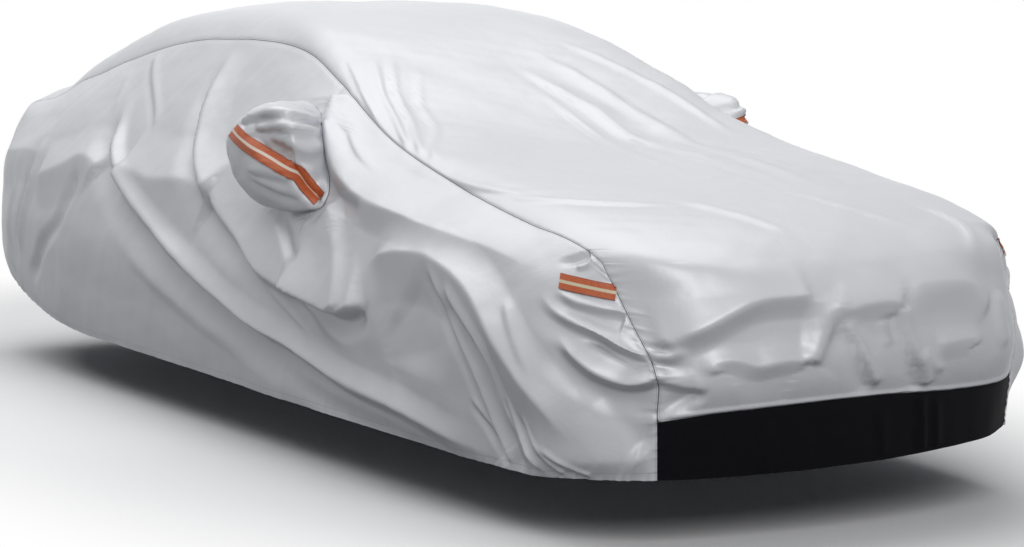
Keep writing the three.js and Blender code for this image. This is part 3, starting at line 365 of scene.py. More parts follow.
# Points of the centre panel's folds are (row, across).
CENTRE_FOLDS = [
    # windscreen and bonnet
    Fold("windscreen fold", 0.01, 0.06, 0, 0.02, 0.005, (0.2, 0.3),
         [(11.6, 2.45), (12.1, 2.6), (12.6, 2.75), (13, 2.8), (13.6, 2.7), (14.4, 2.72), (15.2, 2.7)]),
    Fold("second windscreen fold", 0.011, 0.024, 0.2, 0.09, 0.005, (0.2, 0.3),
         [(11.9, 2.07), (12.3, 2.2), (12.62, 2.36), (13.05, 2.37), (13.4, 2.43), (14, 2.38),
          (14.6, 2.42)]),
    Fold("third windscreen fold", 0.006, 0.014, 0.3, 0.03, 0.004, (0.3, 0.3),
         [(12.2, 1.95), (12.9, 2.1), (13.7, 1.95), (14.6, 1.75)]),
    Fold("fourth windscreen fold", 0.005, 0.012, 0.4, 0.018, 0.003, (0.3, 0.3),
         [(13, 2.58), (13.6, 2.55), (14.3, 2.46), (15, 2.42)]),
    Fold("fifth windscreen fold", 0.005, 0.012, 0.4, 0.018, 0.003, (0.3, 0.3),
         [(13.1, 2.95), (13.7, 2.85), (14.5, 2.95), (15.3, 2.9)]),
    Fold("sixth windscreen fold", 0.004, 0.01, 0.4, 0.014, 0.003, (0.3, 0.3),
         [(13.4, 2.2), (14, 2.15), (14.6, 2.22), (15.2, 2.15)]),
    Fold("left pillar fold", 0.01, 0.04, 0, 0.016, 0.005, (0.2, 0.3),
         [(11.46, 2.93), (12.13, 3.22), (12.72, 3.4), (13.38, 3.25)]),
    Fold("right pillar fold", 0.009, 0.014, 0.4, 0.024, 0.003, (0.2, 0.1),
         [(11.6, 0.88), (12.3, 0.57), (12.6, 0.5), (12.92, 0.4), (13.36, 0.12)]),
    Fold("second right pillar fold", 0.008, 0.014, 0.4, 0.02, 0.003, (0.2, 0.1),
         [(11.75, 0.62), (12.3, 0.42), (12.75, 0.32), (13.2, 0.1)]),
    Fold("third right pillar fold", 0.006, 0.012, 0.4, 0.02, 0.003, (0.3, 0.1),
         [(11.9, 1.05), (12.5, 0.72), (12.95, 0.6), (13.5, 0.1)]),
    Fold("fourth right pillar fold", 0.005, 0.01, 0.4, 0.018, 0.003, (0.3, 0.2),
         [(11.6, 0.35), (12.2, 0.2), (12.8, 0.06)]),
    Fold("windscreen foot", 0.006, 0.018, 0.3, 0.03, 0.004, (0.2, 0.3),
         [(14.38, 0.19), (14.71, 0.34), (15.04, 0.78), (15.1, 1.2)]),
    Fold("second windscreen foot", 0.006, 0.016, 0.3, 0.026, 0.004, (0.1, 0.3),
         [(13.39, 0.02), (13.99, 0.08), (14.59, 0.36)]),
    Fold("bonnet crease", 0.005, 0.02, 0.2, 0.03, 0.005, (0.3, 0.3),
         [(14.9, 1.2), (15.6, 1.5), (16.3, 1.7)]),
    Fold("second bonnet crease", 0.004, 0.018, 0.2, 0.03, 0.005, (0.3, 0.3),
         [(14.6, 2.2), (15.5, 2.5), (16.4, 2.9)]),
    Fold("left bonnet crease", 0.008, 0.03, 0.2, 0.04, 0.006, (0.3, 0.3),
         [(15.3, 3.15), (16, 3.3), (16.7, 3.35), (17.5, 3.2)]),
    # the front
    Fold("nose", 0.016, 0.08, 0, 0.26, 0.02, (0.2, 0.2),
         [(18.9, 0), (18.6, 0.4), (18.15, 0.85), (18.05, 1.45), (18.25, 2), (18.1, 2.6), (18, 3.1),
          (18.4, 3.5)]),
    Fold("roll over the skirt's seam", 0.0045, 0.009, 0, 0.01, 0.003, (0.02, 0.02),
         [(20.92, 0.05), (20.92, 1), (20.92, 2), (20.92, 3), (20.92, 3.95)]),
    Fold("right grille edge", 0.026, 0.055, 0.4, 0.13, 0.005, (0.1, 0.05),
         [(19.3, 0.02), (19.05, 0.15), (18.8, 0.26), (18.55, 0.43), (18.27, 0.68), (18.1, 0.85),
          (18.03, 1), (18.02, 1.2), (18.02, 1.45)]),
    Fold("right grille side", 0.007, 0.025, 0.2, 0.05, 0.004, (0.08, 0.1),
         [(18.05, 1.43), (18.4, 1.4), (18.75, 1.36), (19.2, 1.31), (19.8, 1.25)]),
    Fold("front fold", 0.016, 0.04, 0.2, 0.05, 0.004, (0.1, 0.05),
         [(19.8, 1.3), (19.35, 1.38), (18.95, 1.45), (18.42, 1.57), (18.3, 1.66)]),
    Fold("middle grille edge", 0.02, 0.05, 0, 0.11, 0.005, (0.06, 0.08),
         [(18.28, 1.62), (18.36, 1.76), (18.3, 1.87), (18.27, 2.02), (18.27, 2.2), (18.38, 2.33)]),
    Fold("second front fold", 0.016, 0.026, 0.5, 0.034, 0.004, (0.15, 0.12),
         [(18.55, 1.7), (18.85, 1.76), (19.12, 1.82), (19.7, 1.89), (20.25, 1.98), (20.75, 2.08)]),
    Fold("third front fold", 0.018, 0.032, 0.5, 0.04, 0.004, (0.08, 0.12),
         [(18.38, 2.31), (18.75, 2.36), (19.1, 2.41), (19.8, 2.52), (20.45, 2.67), (20.8, 2.75)]),
    Fold("fourth front fold", 0.007, 0.022, 0.3, 0.04, 0.005, (0.2, 0.3),
         [(18.6, 2.08), (19, 2.13), (19.5, 2.18)]),
    Fold("fifth front fold", 0.01, 0.04, 0.3, 0.02, 0.004, (0.15, 0.15),
         [(19.65, 2.58), (19.85, 2.66), (20.1, 2.75), (20.4, 2.9)]),
    Fold("left grille edge", 0.015, 0.08, 0, 0.08, 0.008, (0.15, 0.12),
         [(18, 2.35), (17.95, 2.62), (17.93, 2.86), (18, 3.1), (18.35, 3.27), (18.75, 3.44)]),
    Fold("low step", 0.014, 0.045, 0.2, 0.05, 0.004, (0.08, 0.08),
         [(20, 0.37), (19.6, 0.4), (19.45, 0.5), (19.47, 0.62), (19.68, 0.77), (19.6, 0.92), (19.53, 1.1),
          (19.6, 1.2), (19.8, 1.26)]),
    Fold("left low step", 0.012, 0.05, 0, 0.045, 0.005, (0.1, 0.2),
         [(19.45, 2.75), (19.37, 3), (19.37, 3.22), (19.7, 3.3)]),
    Fold("corner step", 0.01, 0.028, 0.7, 0.05, 0.004, (0, 0.3),
         [(20.05, 0), (20.14, 0.08), (20.24, 0.16), (20.26, 0.24), (20.4, 0.3)]),
    Fold("corner tuck", -0.022, 0.022, 0, 0.06, 0.006, (0, 0.3),
         [(20.8, 0), (20.72, 0.08), (20.55, 0.18), (20.38, 0.28)]),
    Fold("corner valley", -0.022, 0.02, 0, 0.024, 0.005, (0, 0.3),
         [(19.42, 0), (19.28, 0.07), (19.08, 0.15)]),
    Fold("corner ridge", 0.012, 0.03, 0, 0.02, 0.005, (0, 0.3),
         [(19.75, 0), (19.52, 0.07), (19.35, 0.16), (19.2, 0.24)]),
    Fold("left corner hollow", -0.026, 0.15, 0, 0.15, 0.04, (0.2, 0),
         [(16.5, 3.85), (17.2, 3.92), (18.2, 4), (19.6, 4), (21, 4)]),
    Fold("left corner fold", 0.012, 0.035, 0.2, 0.05, 0.006, (0.2, 0.2),
         [(18.2, 3.55), (19, 3.6), (20, 3.7)]),
    # rear window, boot and tail
    Fold("boot edge", 0.03, 0.13, 0, 0.13, 0.035, (0, 0),
         [(4.3, 0), (4.4, 0.3), (4.5, 1), (4.54, 2), (4.5, 3), (4.4, 3.7), (4.3, 4)]),
    Fold("rear window fold", 0.01, 0.05, 0, 0.07, 0.008, (0.3, 0.3), [(7.2, 1.2), (7.8, 1.7), (8.6, 2.1)]),
    Fold("second rear window fold", 0.008, 0.04, 0, 0.06, 0.008, (0.3, 0.3),
         [(7, 2.9), (7.7, 2.6), (8.4, 2.5)]),
    Fold("tail fold", 0.02, 0.06, 0.3, 0.07, 0.007, (0.2, 0.2),
         [(4.6, 1.1), (3.6, 1.3), (2, 1.2), (0.4, 1.3)]),
    Fold("second tail fold", 0.018, 0.05, 0.3, 0.08, 0.007, (0.2, 0.2),
         [(4.4, 2.7), (3.2, 2.6), (1.8, 2.8), (0.4, 2.75)]),
    Fold("third tail fold", 0.012, 0.045, 0.3, 0.045, 0.006, (0.25, 0.2),
         [(4, 2.1), (2.6, 1.9), (1.2, 2), (0.3, 1.95)]),
    Fold("tail corner fold", 0.014, 0.045, 0.3, 0.045, 0.006, (0.2, 0.2),
         [(4.7, 0.5), (3.6, 0.35), (2.4, 0.5), (1, 0.4)]),
    Fold("left tail corner fold", 0.014, 0.045, 0.3, 0.045, 0.006, (0.2, 0.2),
         [(4.7, 3.5), (3.6, 3.65), (2.4, 3.5), (1, 3.6)]),
]
SKIRT_FOLDS = [
    Fold("skirt fold", 0.01, 0.02, 0.3, 0.03, 0.005, (0.2, 0.05), [(3.02, 2.72), (3.4, 2.8), (3.95, 2.86)]),
    Fold("second skirt fold", 0.008, 0.018, 0.3, 0.028, 0.005, (0.2, 0.05),
         [(3.05, 2.95), (3.5, 3.02), (3.95, 3.08)]),
    Fold("third skirt fold", 0.006, 0.02, 0.3, 0.026, 0.005, (0.3, 0.1),
         [(3.1, 2.2), (3.6, 2.26), (3.95, 2.3)]),
    Fold("left corner hollow", -0.026, 0.15, 0, 0.15, 0.04, (0, 0), [(3, 4), (3.5, 4), (4, 4)]),
    Fold("fourth skirt fold", 0.005, 0.03, 0, 0.03, 0.008, (0.3, 0.1),
         [(3.1, 0.9), (3.6, 0.86), (3.95, 0.9)]),
]
PATH_STEPS = 48  # legs in the line that a fold follows
FLANK_POWER = 1.5  # how fast a flank levels out
DIP_REACH = 2.5  # how far the dip beyond a flank reaches, in widths of that flank
TURN = 2 * math.pi
WAVES = 14  # single waves in each ripple
WAVE_LENGTHS = (0.7, 1.6)  # shortest and longest of them, in shares of the ripple's wavelength
# Ranges that the pleats of a gathered edge are drawn from, and the part each is a share of.
PLEAT_WIDTH = (0.16, 0.34)  # of the spacing
PLEAT_HEIGHT = (0.3, 1.0)
PLEAT_LENGTH = (0.5, 1.5)  # of the reach
PLEAT_TILT = (-0.25, 0.25)
PLEAT_STEP = (0.6, 1.5)  # of the spacing


def nearest_on(points, path):
    """Distance from each point to the path, the place along it, the offset and the path's direction."""
    start, leg = path[:-1], np.diff(path, axis=0)
    from_start = points[:, None] - start
    share = np.clip(np.einsum("pmc,mc->pm", from_start, leg) / (leg**2).sum(1), 0, 1)
    away = from_start - share[..., None] * leg
    distance = (away**2).sum(2)
    best = distance.argmin(1)
    row = np.arange(len(points))
    return np.sqrt(distance[row, best]), (best + share[row, best]) / len(leg), away[row, best], leg[best]


def risen(along, fade):
    """How far a fold has risen there. One that fades over 0 runs off the cloth at its full height."""
    return smooth(along / fade) if fade else np.ones_like(along)


def fold_lift(fold, point_at, points, normals, mirrored=False):
    """How far a fold lifts each point out of the cloth."""
    knots = np.arange(len(fold.at))
    places = through([(a, b, 0) for a, b in fold.at], np.linspace(0, knots[-1], PATH_STEPS + 1))
    path = point_at(places[:, 0], places[:, 1])
    reach = fold.crest + max(fold.before * (1 + DIP_REACH), fold.after)
    near = np.all((points > path.min(0) - reach) & (points < path.max(0) + reach), axis=1)
    lift = np.zeros(len(points))
    if not near.any():
        return lift
    distance, along, away, leg = nearest_on(points[near], path)
    before = ((away * np.cross(leg, normals[near])).sum(1) > 0) != mirrored
    width = np.where(before, fold.before, fold.after)
    dip = np.where(before, fold.under, 0.0)
    away_share = (np.sqrt(distance**2 + fold.crest**2) - fold.crest) / width
    flank = (1 + dip) * (1 - np.minimum(away_share, 1)) ** FLANK_POWER - dip
    beyond = -dip * (1 - smooth((away_share - 1) / DIP_REACH))
    ends = risen(along, fold.fades[0]) * risen(1 - along, fold.fades[1])
    lift[near] = fold.height * ends * np.where(away_share < 1, flank, beyond)
    return lift


def ripples(points, wavelength, seed):
    """Soft uneven waves between about -1 and 1."""
    waves = np.random.default_rng(seed)
    total = np.zeros(len(points))
    for _ in range(WAVES):
        direction = waves.normal(size=3)
        direction *= TURN / (np.linalg.norm(direction) * wavelength * waves.uniform(*WAVE_LENGTHS))
        total += np.sin(points @ direction + waves.uniform(0, TURN))
    return total / math.sqrt(2 * WAVES)


def soft_waves(points, waves):
    """Waves of several lengths together. waves: (height, wavelength, seed) of each."""
    return sum(height * ripples(points, wavelength, seed) for height, wavelength, seed in waves)


def gathers(along, depth, spacing, reach, seed, lean=0.0):
    """Small uneven pleats square to an edge: along it, and dying out with the depth from it."""
    pleats = np.random.default_rng(seed)
    start, end = along.min(), along.max()
    total = np.zeros(along.shape)
    place = start
    while place < end:
        width = spacing * pleats.uniform(*PLEAT_WIDTH)
        height = pleats.uniform(*PLEAT_HEIGHT)
        length = reach * pleats.uniform(*PLEAT_LENGTH)
        tilt = lean + pleats.uniform(*PLEAT_TILT)
        off = (along + tilt * depth - place) / width
        total += height * np.exp(-off**2 - depth / length)
        place += spacing * pleats.uniform(*PLEAT_STEP)
    return total


# ---- grids ----
DENSITY_STEPS = 2000
TINY = 1e-12  # keeps a length that is divided by from being 0
SHARP_ANGLE = math.radians(75)  # edges bent more than this are drawn sharp


def spaced(stops, count):
    """count + 1 places from the first stop to the last. A stop is a place and the grid's density there."""
    places = np.linspace(stops[0][0], stops[-1][0], DENSITY_STEPS + 1)
    density = np.interp(places, [s[0] for s in stops], [s[1] for s in stops])
    total = np.concatenate([[0], np.cumsum((density[1:] + density[:-1]) / 2)])
    return np.interp(np.linspace(0, total[-1], count + 1), total, places)


def lengths(points, axis):
    """Distance along the grid lines of one axis, from its first line."""
    step = np.linalg.norm(np.diff(points, axis=axis), axis=-1)
    start = np.zeros_like(np.take(step, [0], axis=axis))
    return np.concatenate([start, np.cumsum(step, axis=axis)], axis=axis)


def unit_normals(first, second, outward):
    """Unit normals of a cloth with these two directions in it, times outward, 1 or -1."""
    normal = np.cross(first, second)
    return outward * normal / np.maximum(np.linalg.norm(normal, axis=-1, keepdims=True), TINY)


def grid_normals(points, outward):
    return unit_normals(np.gradient(points, axis=0), np.gradient(points, axis=1), outward)


Edge = namedtuple("Edge", "axis backward part")


def from_edge(values, edge):
    """A view of grid values in which the first index counts the rows away from an edge."""
    view = values if edge.axis == 0 else values.swapaxes(0, 1)
    if edge.backward:
        view = view[::-1]
    return view[:, edge.part]


ALL = slice(None)


class Sheet:
    """A grid of cloth that folds are added to before it becomes a mesh."""

    def __init__(self, firsts, seconds, point_at, outward, bend=None, mirrored=False):
        self.a, self.b = np.meshgrid(firsts, seconds, indexing="ij")
        if bend:
            self.a, self.b = bend(self.a, self.b)
        self.point_at = point_at
        self.outward = outward
        self.mirrored = mirrored
        self.points = point_at(self.a.ravel(), self.b.ravel()).reshape(*self.a.shape, 3)
        self.base = self.points.copy()
        self.settle()

    def settle(self):
        """Takes the shape so far as the cloth that further details stand on."""
        self.normals = grid_normals(self.points, self.outward)

    def lift(self, amount, edge=None):
        """Moves points out of the cloth. With an edge, amount's first index counts from that edge."""
        if edge is None:
            self.points += self.normals * amount[..., None]
        else:
            from_edge(self.points, edge)[:] += from_edge(self.normals, edge) * amount[..., None]

    def add_folds(self, folds):
        flat, normals = self.base.reshape(-1, 3), self.normals.reshape(-1, 3)
        total = sum(fold_lift(fold, self.point_at, flat, normals, self.mirrored) for fold in folds)
        self.lift(total.reshape(self.a.shape))
        self.settle()

    def seam_places(self, edge):
        """(along, depth) of each grid point: distance along an edge, and distance away from it."""
        view = from_edge(self.points, edge)
        depth = lengths(view, 0)
        along = lengths(view[:1], 1) + np.zeros_like(depth)
        return along, depth

    def gather(self, edge, height, spacing, reach, seed, lean=0.0, strength=1.0):
        along, depth = self.seam_places(edge)
        self.lift(height * strength * gathers(along, depth, spacing, reach, seed, lean), edge)

    def groove(self, edge, depth, width):
        away = self.seam_places(edge)[1]
        self.lift(-depth * np.exp(-((away / width) ** 2)), edge)


def join(first, first_edge, second, second_edge, reach):
    """Brings the edges of two sheets together along the seam between them."""
    sides = [(first, first_edge), (second, second_edge)]
    ends = [from_edge(sheet.points, edge)[0].copy() for sheet, edge in sides]
    middle = (ends[0] + ends[1]) / 2
    for (sheet, edge), end in zip(sides, ends):
        depth = sheet.seam_places(edge)[1]
        share = smooth(1 - depth / reach)
        from_edge(sheet.points, edge)[:] += (middle - end) * share[..., None]


def walls(fine, coarse):
    """Faces between a fine edge and the coarse one under it, which has every second point."""
    faces = []
    for k in range(len(coarse) - 1):
        a, b, c = fine[2 * k : 2 * k + 3]
        d, e = coarse[k : k + 2]
        faces += [(b, a, d), (b, d, e), (c, b, e)]
    return faces


def loop_of(index, first, last):
    """The rim of a block of grid points, once round in the sense of its faces."""
    (i0, j0), (i1, j1) = first, last
    there, back = [index[i0:i1, j0], index[i1, j0:j1]], [index[i1:i0:-1, j1], index[i0, j1:j0:-1]]
    return np.concatenate([*there, *back, index[i0 : i0 + 1, j0]])


def grid_quads(index):
    """The four corners of each cell of a grid."""
    return np.stack([index[:-1, :-1], index[1:, :-1], index[1:, 1:], index[:-1, 1:]], -1)


def sheet_faces(shape, flip, hole):
    """Faces of both sides of a sheet and of its walls. hole: the corner points of an opening."""
    rows, columns = shape
    outer = np.arange(rows * columns).reshape(shape)
    inner_shape = ((rows + 1) // 2, (columns + 1) // 2)
    inner = rows * columns + np.arange(inner_shape[0] * inner_shape[1]).reshape(inner_shape)
    faces = []
    for index, turned, step in ((outer, flip, 1), (inner, not flip, 2)):
        keep = np.ones((index.shape[0] - 1, index.shape[1] - 1), bool)
        if hole:
            (i0, j0), (i1, j1) = hole
            keep[i0 // step : i1 // step, j0 // step : j1 // step] = False
        quads = grid_quads(index)[keep]
        faces += (quads[:, ::-1] if turned else quads).tolist()
    rims = [((0, 0), (rows - 1, columns - 1), False)]
    if hole:
        rims.append((*hole, True))
    for first, last, inside in rims:
        half = [tuple(n // 2 for n in corner) for corner in (first, last)]
        fine, coarse = loop_of(outer, first, last), loop_of(inner, *half)
        if inside != flip:
            fine, coarse = fine[::-1], coarse[::-1]
        faces += walls(fine.tolist(), coarse.tolist())
    return faces


def make_mesh(name, points, faces, maps, material):
    """A piece of cloth. maps: UV layers, with a value for each point."""
    used = np.unique(np.concatenate([np.ravel(face) for face in faces]))
    new = np.full(len(points), -1)
    new[used] = np.arange(len(used))
    mesh = bpy.data.meshes.new(name)
    mesh.from_pydata(points[used] - ORIGIN, [], [new[list(face)].tolist() for face in faces])
    corner = np.empty(len(mesh.loops), dtype=np.int32)
    mesh.loops.foreach_get("vertex_index", corner)
    for layer, values in maps.items():
        uv = mesh.uv_layers.new(name=layer)
        uv.data.foreach_set("uv", np.asarray(values, dtype=np.float32)[used][corner].ravel())
    mesh.materials.append(material)
    mesh.shade_smooth()
    mesh.set_sharp_from_angle(angle=SHARP_ANGLE)
    piece = bpy.data.objects.new(name, mesh)
    bpy.context.collection.objects.link(piece)
    return piece


def both_sides(outer, inner):
    """Values of the outer grid points, followed by those of the inner ones."""
    width = outer.shape[-1]
    return np.concatenate([outer.reshape(-1, width), inner.reshape(-1, width)])


def grid_piece(name, points, outward, maps, material, thickness=CLOTH, hole=None):
    """A grid of points as a thin closed cloth, with a coarser inner face."""
    inner = (points - grid_normals(points, outward) * thickness)[::2, ::2]
    maps = {layer: both_sides(values, values[::2, ::2]) for layer, values in maps.items()}
    faces = sheet_faces(points.shape[:2], outward < 0, hole)
    return make_mesh(name, both_sides(points, inner), faces, maps, material)


# ---- shaders ----
class Nodes:
    """Adds nodes to a node tree and links them."""

    def __init__(self, tree):
        self.tree = tree

    def put(self, socket, value):
        if isinstance(value, bpy.types.NodeSocket):
            self.tree.links.new(value, socket)
        else:
            socket.default_value = value

    def add(self, kind, inputs, **settings):
        node = self.tree.nodes.new(kind)
        for name, value in settings.items():
            setattr(node, name, value)
        for name, value in inputs.items():
            self.put(node.inputs[name], value)
        return node

    def math(self, operation, *values):
        node = self.tree.nodes.new("ShaderNodeMath")
        node.operation = operation
        for socket, value in zip(node.inputs, values):
            self.put(socket, value)
        return node.outputs[0]

    def times(self, first, *others):
        for other in others:
            first = self.math("MULTIPLY", first, other)
        return first

    def plus(self, first, *others):
        for other in others:
            first = self.math("ADD", first, other)
        return first

    def mix(self, share, first, second):
        """Mixes two colours."""
        node = self.tree.nodes.new("ShaderNodeMix")
        node.data_type = "RGBA"
        for socket, value in ((node.inputs[0], share), (node.inputs[6], first), (node.inputs[7], second)):
            self.put(socket, value)
        return node.outputs[2]

    def layer(self, name):
        return self.add("ShaderNodeUVMap", {}, uv_map=name).outputs[0]

    def coordinates(self, name):
        """The two coordinates of a UV layer."""
        split = self.add("ShaderNodeSeparateXYZ", {"Vector": self.layer(name)})
        return split.outputs[0], split.outputs[1]

    def place(self, *values):
        return self.add("ShaderNodeCombineXYZ", dict(zip("XYZ", values))).outputs[0]

    def noise(self, where, scale, detail=2.0, roughness=0.5):
        return self.add("ShaderNodeTexNoise", {"Vector": where, "Scale": scale, "Detail": detail,
                                               "Roughness": roughness}).outputs["Fac"]

    def below(self, value, limit, soft):
        """1 where value is below the limit and 0 above it, with a soft step."""
        ends = {"From Min": limit - soft, "From Max": limit + soft, "To Min": 1.0, "To Max": 0.0}
        return self.add("ShaderNodeMapRange", {"Value": value, **ends}).outputs[0]

    def bump(self, shader, height, strength, distance):
        settings = {"Height": height, "Strength": strength, "Distance": distance}
        self.put(shader.inputs["Normal"], self.add("ShaderNodeBump", settings).outputs[0])


def new_material(name, colour, roughness, metallic=0.0):
    material = bpy.data.materials.new(name)
    material.use_nodes = True
    shader = material.node_tree.nodes["Principled BSDF"]
    shader.inputs["Base Color"].default_value = (*colour, 1)
    shader.inputs["Roughness"].default_value = roughness
    shader.inputs["Metallic"].default_value = metallic
    return material, shader, Nodes(material.node_tree)


COVER = (0.70, 0.71, 0.735)
COVER_CLOUDS = ((0.67, 0.68, 0.705, 1), (0.73, 0.74, 0.765, 1))  # the tones between which it varies
COVER_TINT = (0.6, 0.61, 0.63, 1)
COVER_METALLIC = 0.18
COVER_ROUGHNESS = 0.38
COVER_IOR = 1.3
# painted shade: a dark line along each seam stands in for the shadow in the seam's crease
SEAM_SHADE_TONE = (0.10, 0.10, 0.11, 1)
SEAM_SHADE_LINE = (0.0016, 0.0008)  # half width of the painted shade line along a seam, and of its soft step
THREAD_TONE = (0.22, 0.22, 0.24, 1)
THREAD_SHARE = 0.45
STITCH_LINE = 0.006  # how far from a seam its stitches run
STITCH_PITCH = 0.007
STITCH_SHARE = 0.62  # of the pitch
STITCH_HALF = (0.0011, 0.0004)  # half width of a stitch, and of its soft step
HEM_STITCH = 0.022  # how far from the edge the casing of the hem's elastic is sewn
# Puckers at an edge: the noise's scale along it and away from it, the rate at which they fade away from
# it, and the layer of the noise that they are taken from.
Pucker = namedtuple("Pucker", "along away fade layer")
SEAM_PUCKER = Pucker(95.0, 22.0, -55.0, 0.0)
HEM_PUCKER = Pucker(70.0, 12.0, -28.0, 3.0)
# Shares of the cover's relief, in parts of COVER_BUMP's distance.
COVER_RELIEF = {"crinkle": 0.9, "grain": 0.10, "seam": 1.6, "hem": 1.8, "thread": -0.5}
COVER_BUMP = (0.55, 0.0016)  # strength, distance

SKIRT = (0.004, 0.004, 0.005)
SKIRT_TONES = ((0.003, 0.003, 0.004, 1), (0.006, 0.006, 0.008, 1))
SKIRT_ROUGHNESS = 0.75
SKIRT_SPECULAR = 0.08
SKIRT_RELIEF = {"weave": 0.25, "soft": 0.75}
SKIRT_BUMP = (0.5, 0.0015)

TAPE = (0.56, 0.105, 0.022)
TAPE_TONES = ((0.46, 0.075, 0.016, 1), (0.66, 0.15, 0.035, 1))
TAPE_EDGE = (0.24, 0.035, 0.010, 1)
TAPE_EDGE_SHARE = 0.6
TAPE_EDGE_WIDTH = 0.05  # in widths of the tape, like the next one
TAPE_SOFT = 0.02
TAPE_ROUGHNESS = 0.42
RIB_PITCH = 0.0035
FRAY_RELIEF = 2.0  # in heights of a rib
TAPE_BUMP = (0.4, 0.0006)


def cover_material():
    """Silver-coated polyester: semi-gloss, finely wrinkled, puckered along its seams, with painted shade in
    their creases.
    """
    material, shader, nodes = new_material("cover_cloth", COVER, COVER_ROUGHNESS, COVER_METALLIC)
    nodes.put(shader.inputs["IOR"], COVER_IOR)
    nodes.put(shader.inputs["Specular Tint"], COVER_TINT)
    seam = nodes.coordinates("seam")
    hem = nodes.coordinates("hem")
    cloth = nodes.layer("cloth")
    crinkle = nodes.noise(cloth, 34.0, 4.0, 0.62)
    grain = nodes.noise(cloth, 420.0, 2.0, 0.6)

    def puckers(edge, kind):
        along, away = edge
        where = nodes.place(nodes.times(along, kind.along), nodes.times(away, kind.away), kind.layer)
        fade = nodes.math("EXPONENT", nodes.times(away, kind.fade))
        return nodes.times(nodes.noise(where, 1.0, 1.0), fade)

    def stitches(edge, line):
        along, away = edge
        dash = nodes.math("FRACT", nodes.math("DIVIDE", along, STITCH_PITCH))
        on_line = nodes.below(nodes.math("ABSOLUTE", nodes.math("SUBTRACT", away, line)), *STITCH_HALF)
        return nodes.times(nodes.math("LESS_THAN", dash, STITCH_SHARE), on_line)

    thread = nodes.math("MAXIMUM", stitches(seam, STITCH_LINE), stitches(hem, HEM_STITCH))
    parts = {"crinkle": crinkle, "grain": grain, "seam": puckers(seam, SEAM_PUCKER),
             "hem": puckers(hem, HEM_PUCKER), "thread": thread}
    height = nodes.plus(*(nodes.times(parts[name], share) for name, share in COVER_RELIEF.items()))
    nodes.bump(shader, height, *COVER_BUMP)
    tone = nodes.mix(nodes.noise(cloth, 2.2, 2.0), *COVER_CLOUDS)
    # painted shade: the dark line along each seam, for the shadow in its crease
    tone = nodes.mix(nodes.below(seam[1], *SEAM_SHADE_LINE), tone, SEAM_SHADE_TONE)
    tone = nodes.mix(nodes.times(thread, THREAD_SHARE), tone, THREAD_TONE)
    nodes.put(shader.inputs["Base Color"], tone)
    return material


def skirt_material():
    """Black woven polyester, nearly without gloss."""
    material, shader, nodes = new_material("skirt_cloth", SKIRT, SKIRT_ROUGHNESS)
    cloth = nodes.layer("cloth")
    weave = nodes.noise(cloth, 600.0, 1.0)
    soft = nodes.noise(cloth, 26.0, 2.0)
    height = nodes.plus(nodes.times(weave, SKIRT_RELIEF["weave"]), nodes.times(soft, SKIRT_RELIEF["soft"]))
    nodes.bump(shader, height, *SKIRT_BUMP)
    nodes.put(shader.inputs["Base Color"], nodes.mix(soft, *SKIRT_TONES))
    nodes.put(shader.inputs["Specular IOR Level"], SKIRT_SPECULAR)
    return material


def tape_material(name, line_half, line_colour):
    """Ribbed orange webbing with a pale line along its middle. Across it, cloth runs from -0.5 to 0.5."""
    material, shader, nodes = new_material(name, TAPE, TAPE_ROUGHNESS)
    along, across = nodes.coordinates("cloth")
    from_middle = nodes.math("ABSOLUTE", across)
    rib = nodes.math("SINE", nodes.times(along, TURN / RIB_PITCH))
    fray = nodes.noise(nodes.place(nodes.times(along, 90.0), nodes.times(across, 4.0), 0.0), 1.0)
    edge = nodes.below(nodes.math("SUBTRACT", 0.5, from_middle), TAPE_EDGE_WIDTH, TAPE_SOFT)
    tone = nodes.mix(fray, *TAPE_TONES)
    tone = nodes.mix(nodes.times(edge, TAPE_EDGE_SHARE), tone, TAPE_EDGE)
    tone = nodes.mix(nodes.below(from_middle, line_half, TAPE_SOFT), tone, line_colour)
    nodes.put(shader.inputs["Base Color"], tone)
    nodes.bump(shader, nodes.plus(rib, nodes.times(fray, FRAY_RELIEF)), *TAPE_BUMP)
    return material


cover_cloth = cover_material()
skirt_cloth = skirt_material()
mirror_webbing = tape_material("mirror_webbing", 0.085, (0.90, 0.78, 0.66, 1))
corner_webbing = tape_material("corner_webbing", 0.10, (0.78, 0.70, 0.48, 1))

# ---- the panels ----
MOUTH_START = MOUTH["station"] - MOUTH["half_stations"]
MOUTH_END = MOUTH["station"] + MOUTH["half_stations"]
MOUTH_TOP = MOUTH["line"] - MOUTH["half_lines"]
MOUTH_FOOT = MOUTH["line"] + MOUTH["half_lines"]
# Cells of the grids: behind and ahead of the mouth, above it, below it and beside the skirt, and across.
BEHIND, AHEAD = 196, 260
ABOVE, BELOW, BESIDE_SKIRT = 12, 62, 36
WIDTHWAYS = 100
station_grid = np.concatenate([
    spaced([(0, 1.3), (1, 1), (6, 1), (MOUTH_START, 1.4)], BEHIND)[:-1],
    spaced([(MOUTH_START, 1), (MOUTH_END, 1)], MOUTH_CELLS)[:-1],
    spaced([(MOUTH_END, 1.4), (8.5, 1), (10.4, 1.1), (11.4, 1.8), (LAST, 2.2)], AHEAD),
])
line_grid = np.concatenate([
    spaced([(0, 1), (MOUTH_TOP, 1)], ABOVE)[:-1],
    spaced([(MOUTH_TOP, 1), (MOUTH_FOOT, 1)], MOUTH_CELLS)[:-1],
    spaced([(MOUTH_FOOT, 1), (SKIRT_TOP, 1)], BELOW)[:-1],
    spaced([(SKIRT_TOP, 1), (4, 1.5)], BESIDE_SKIRT),
])
across_grid = spaced([(0, 2), (0.45, 1.3), (1, 1), (3, 1), (3.55, 1.3), (4, 2)], WIDTHWAYS)
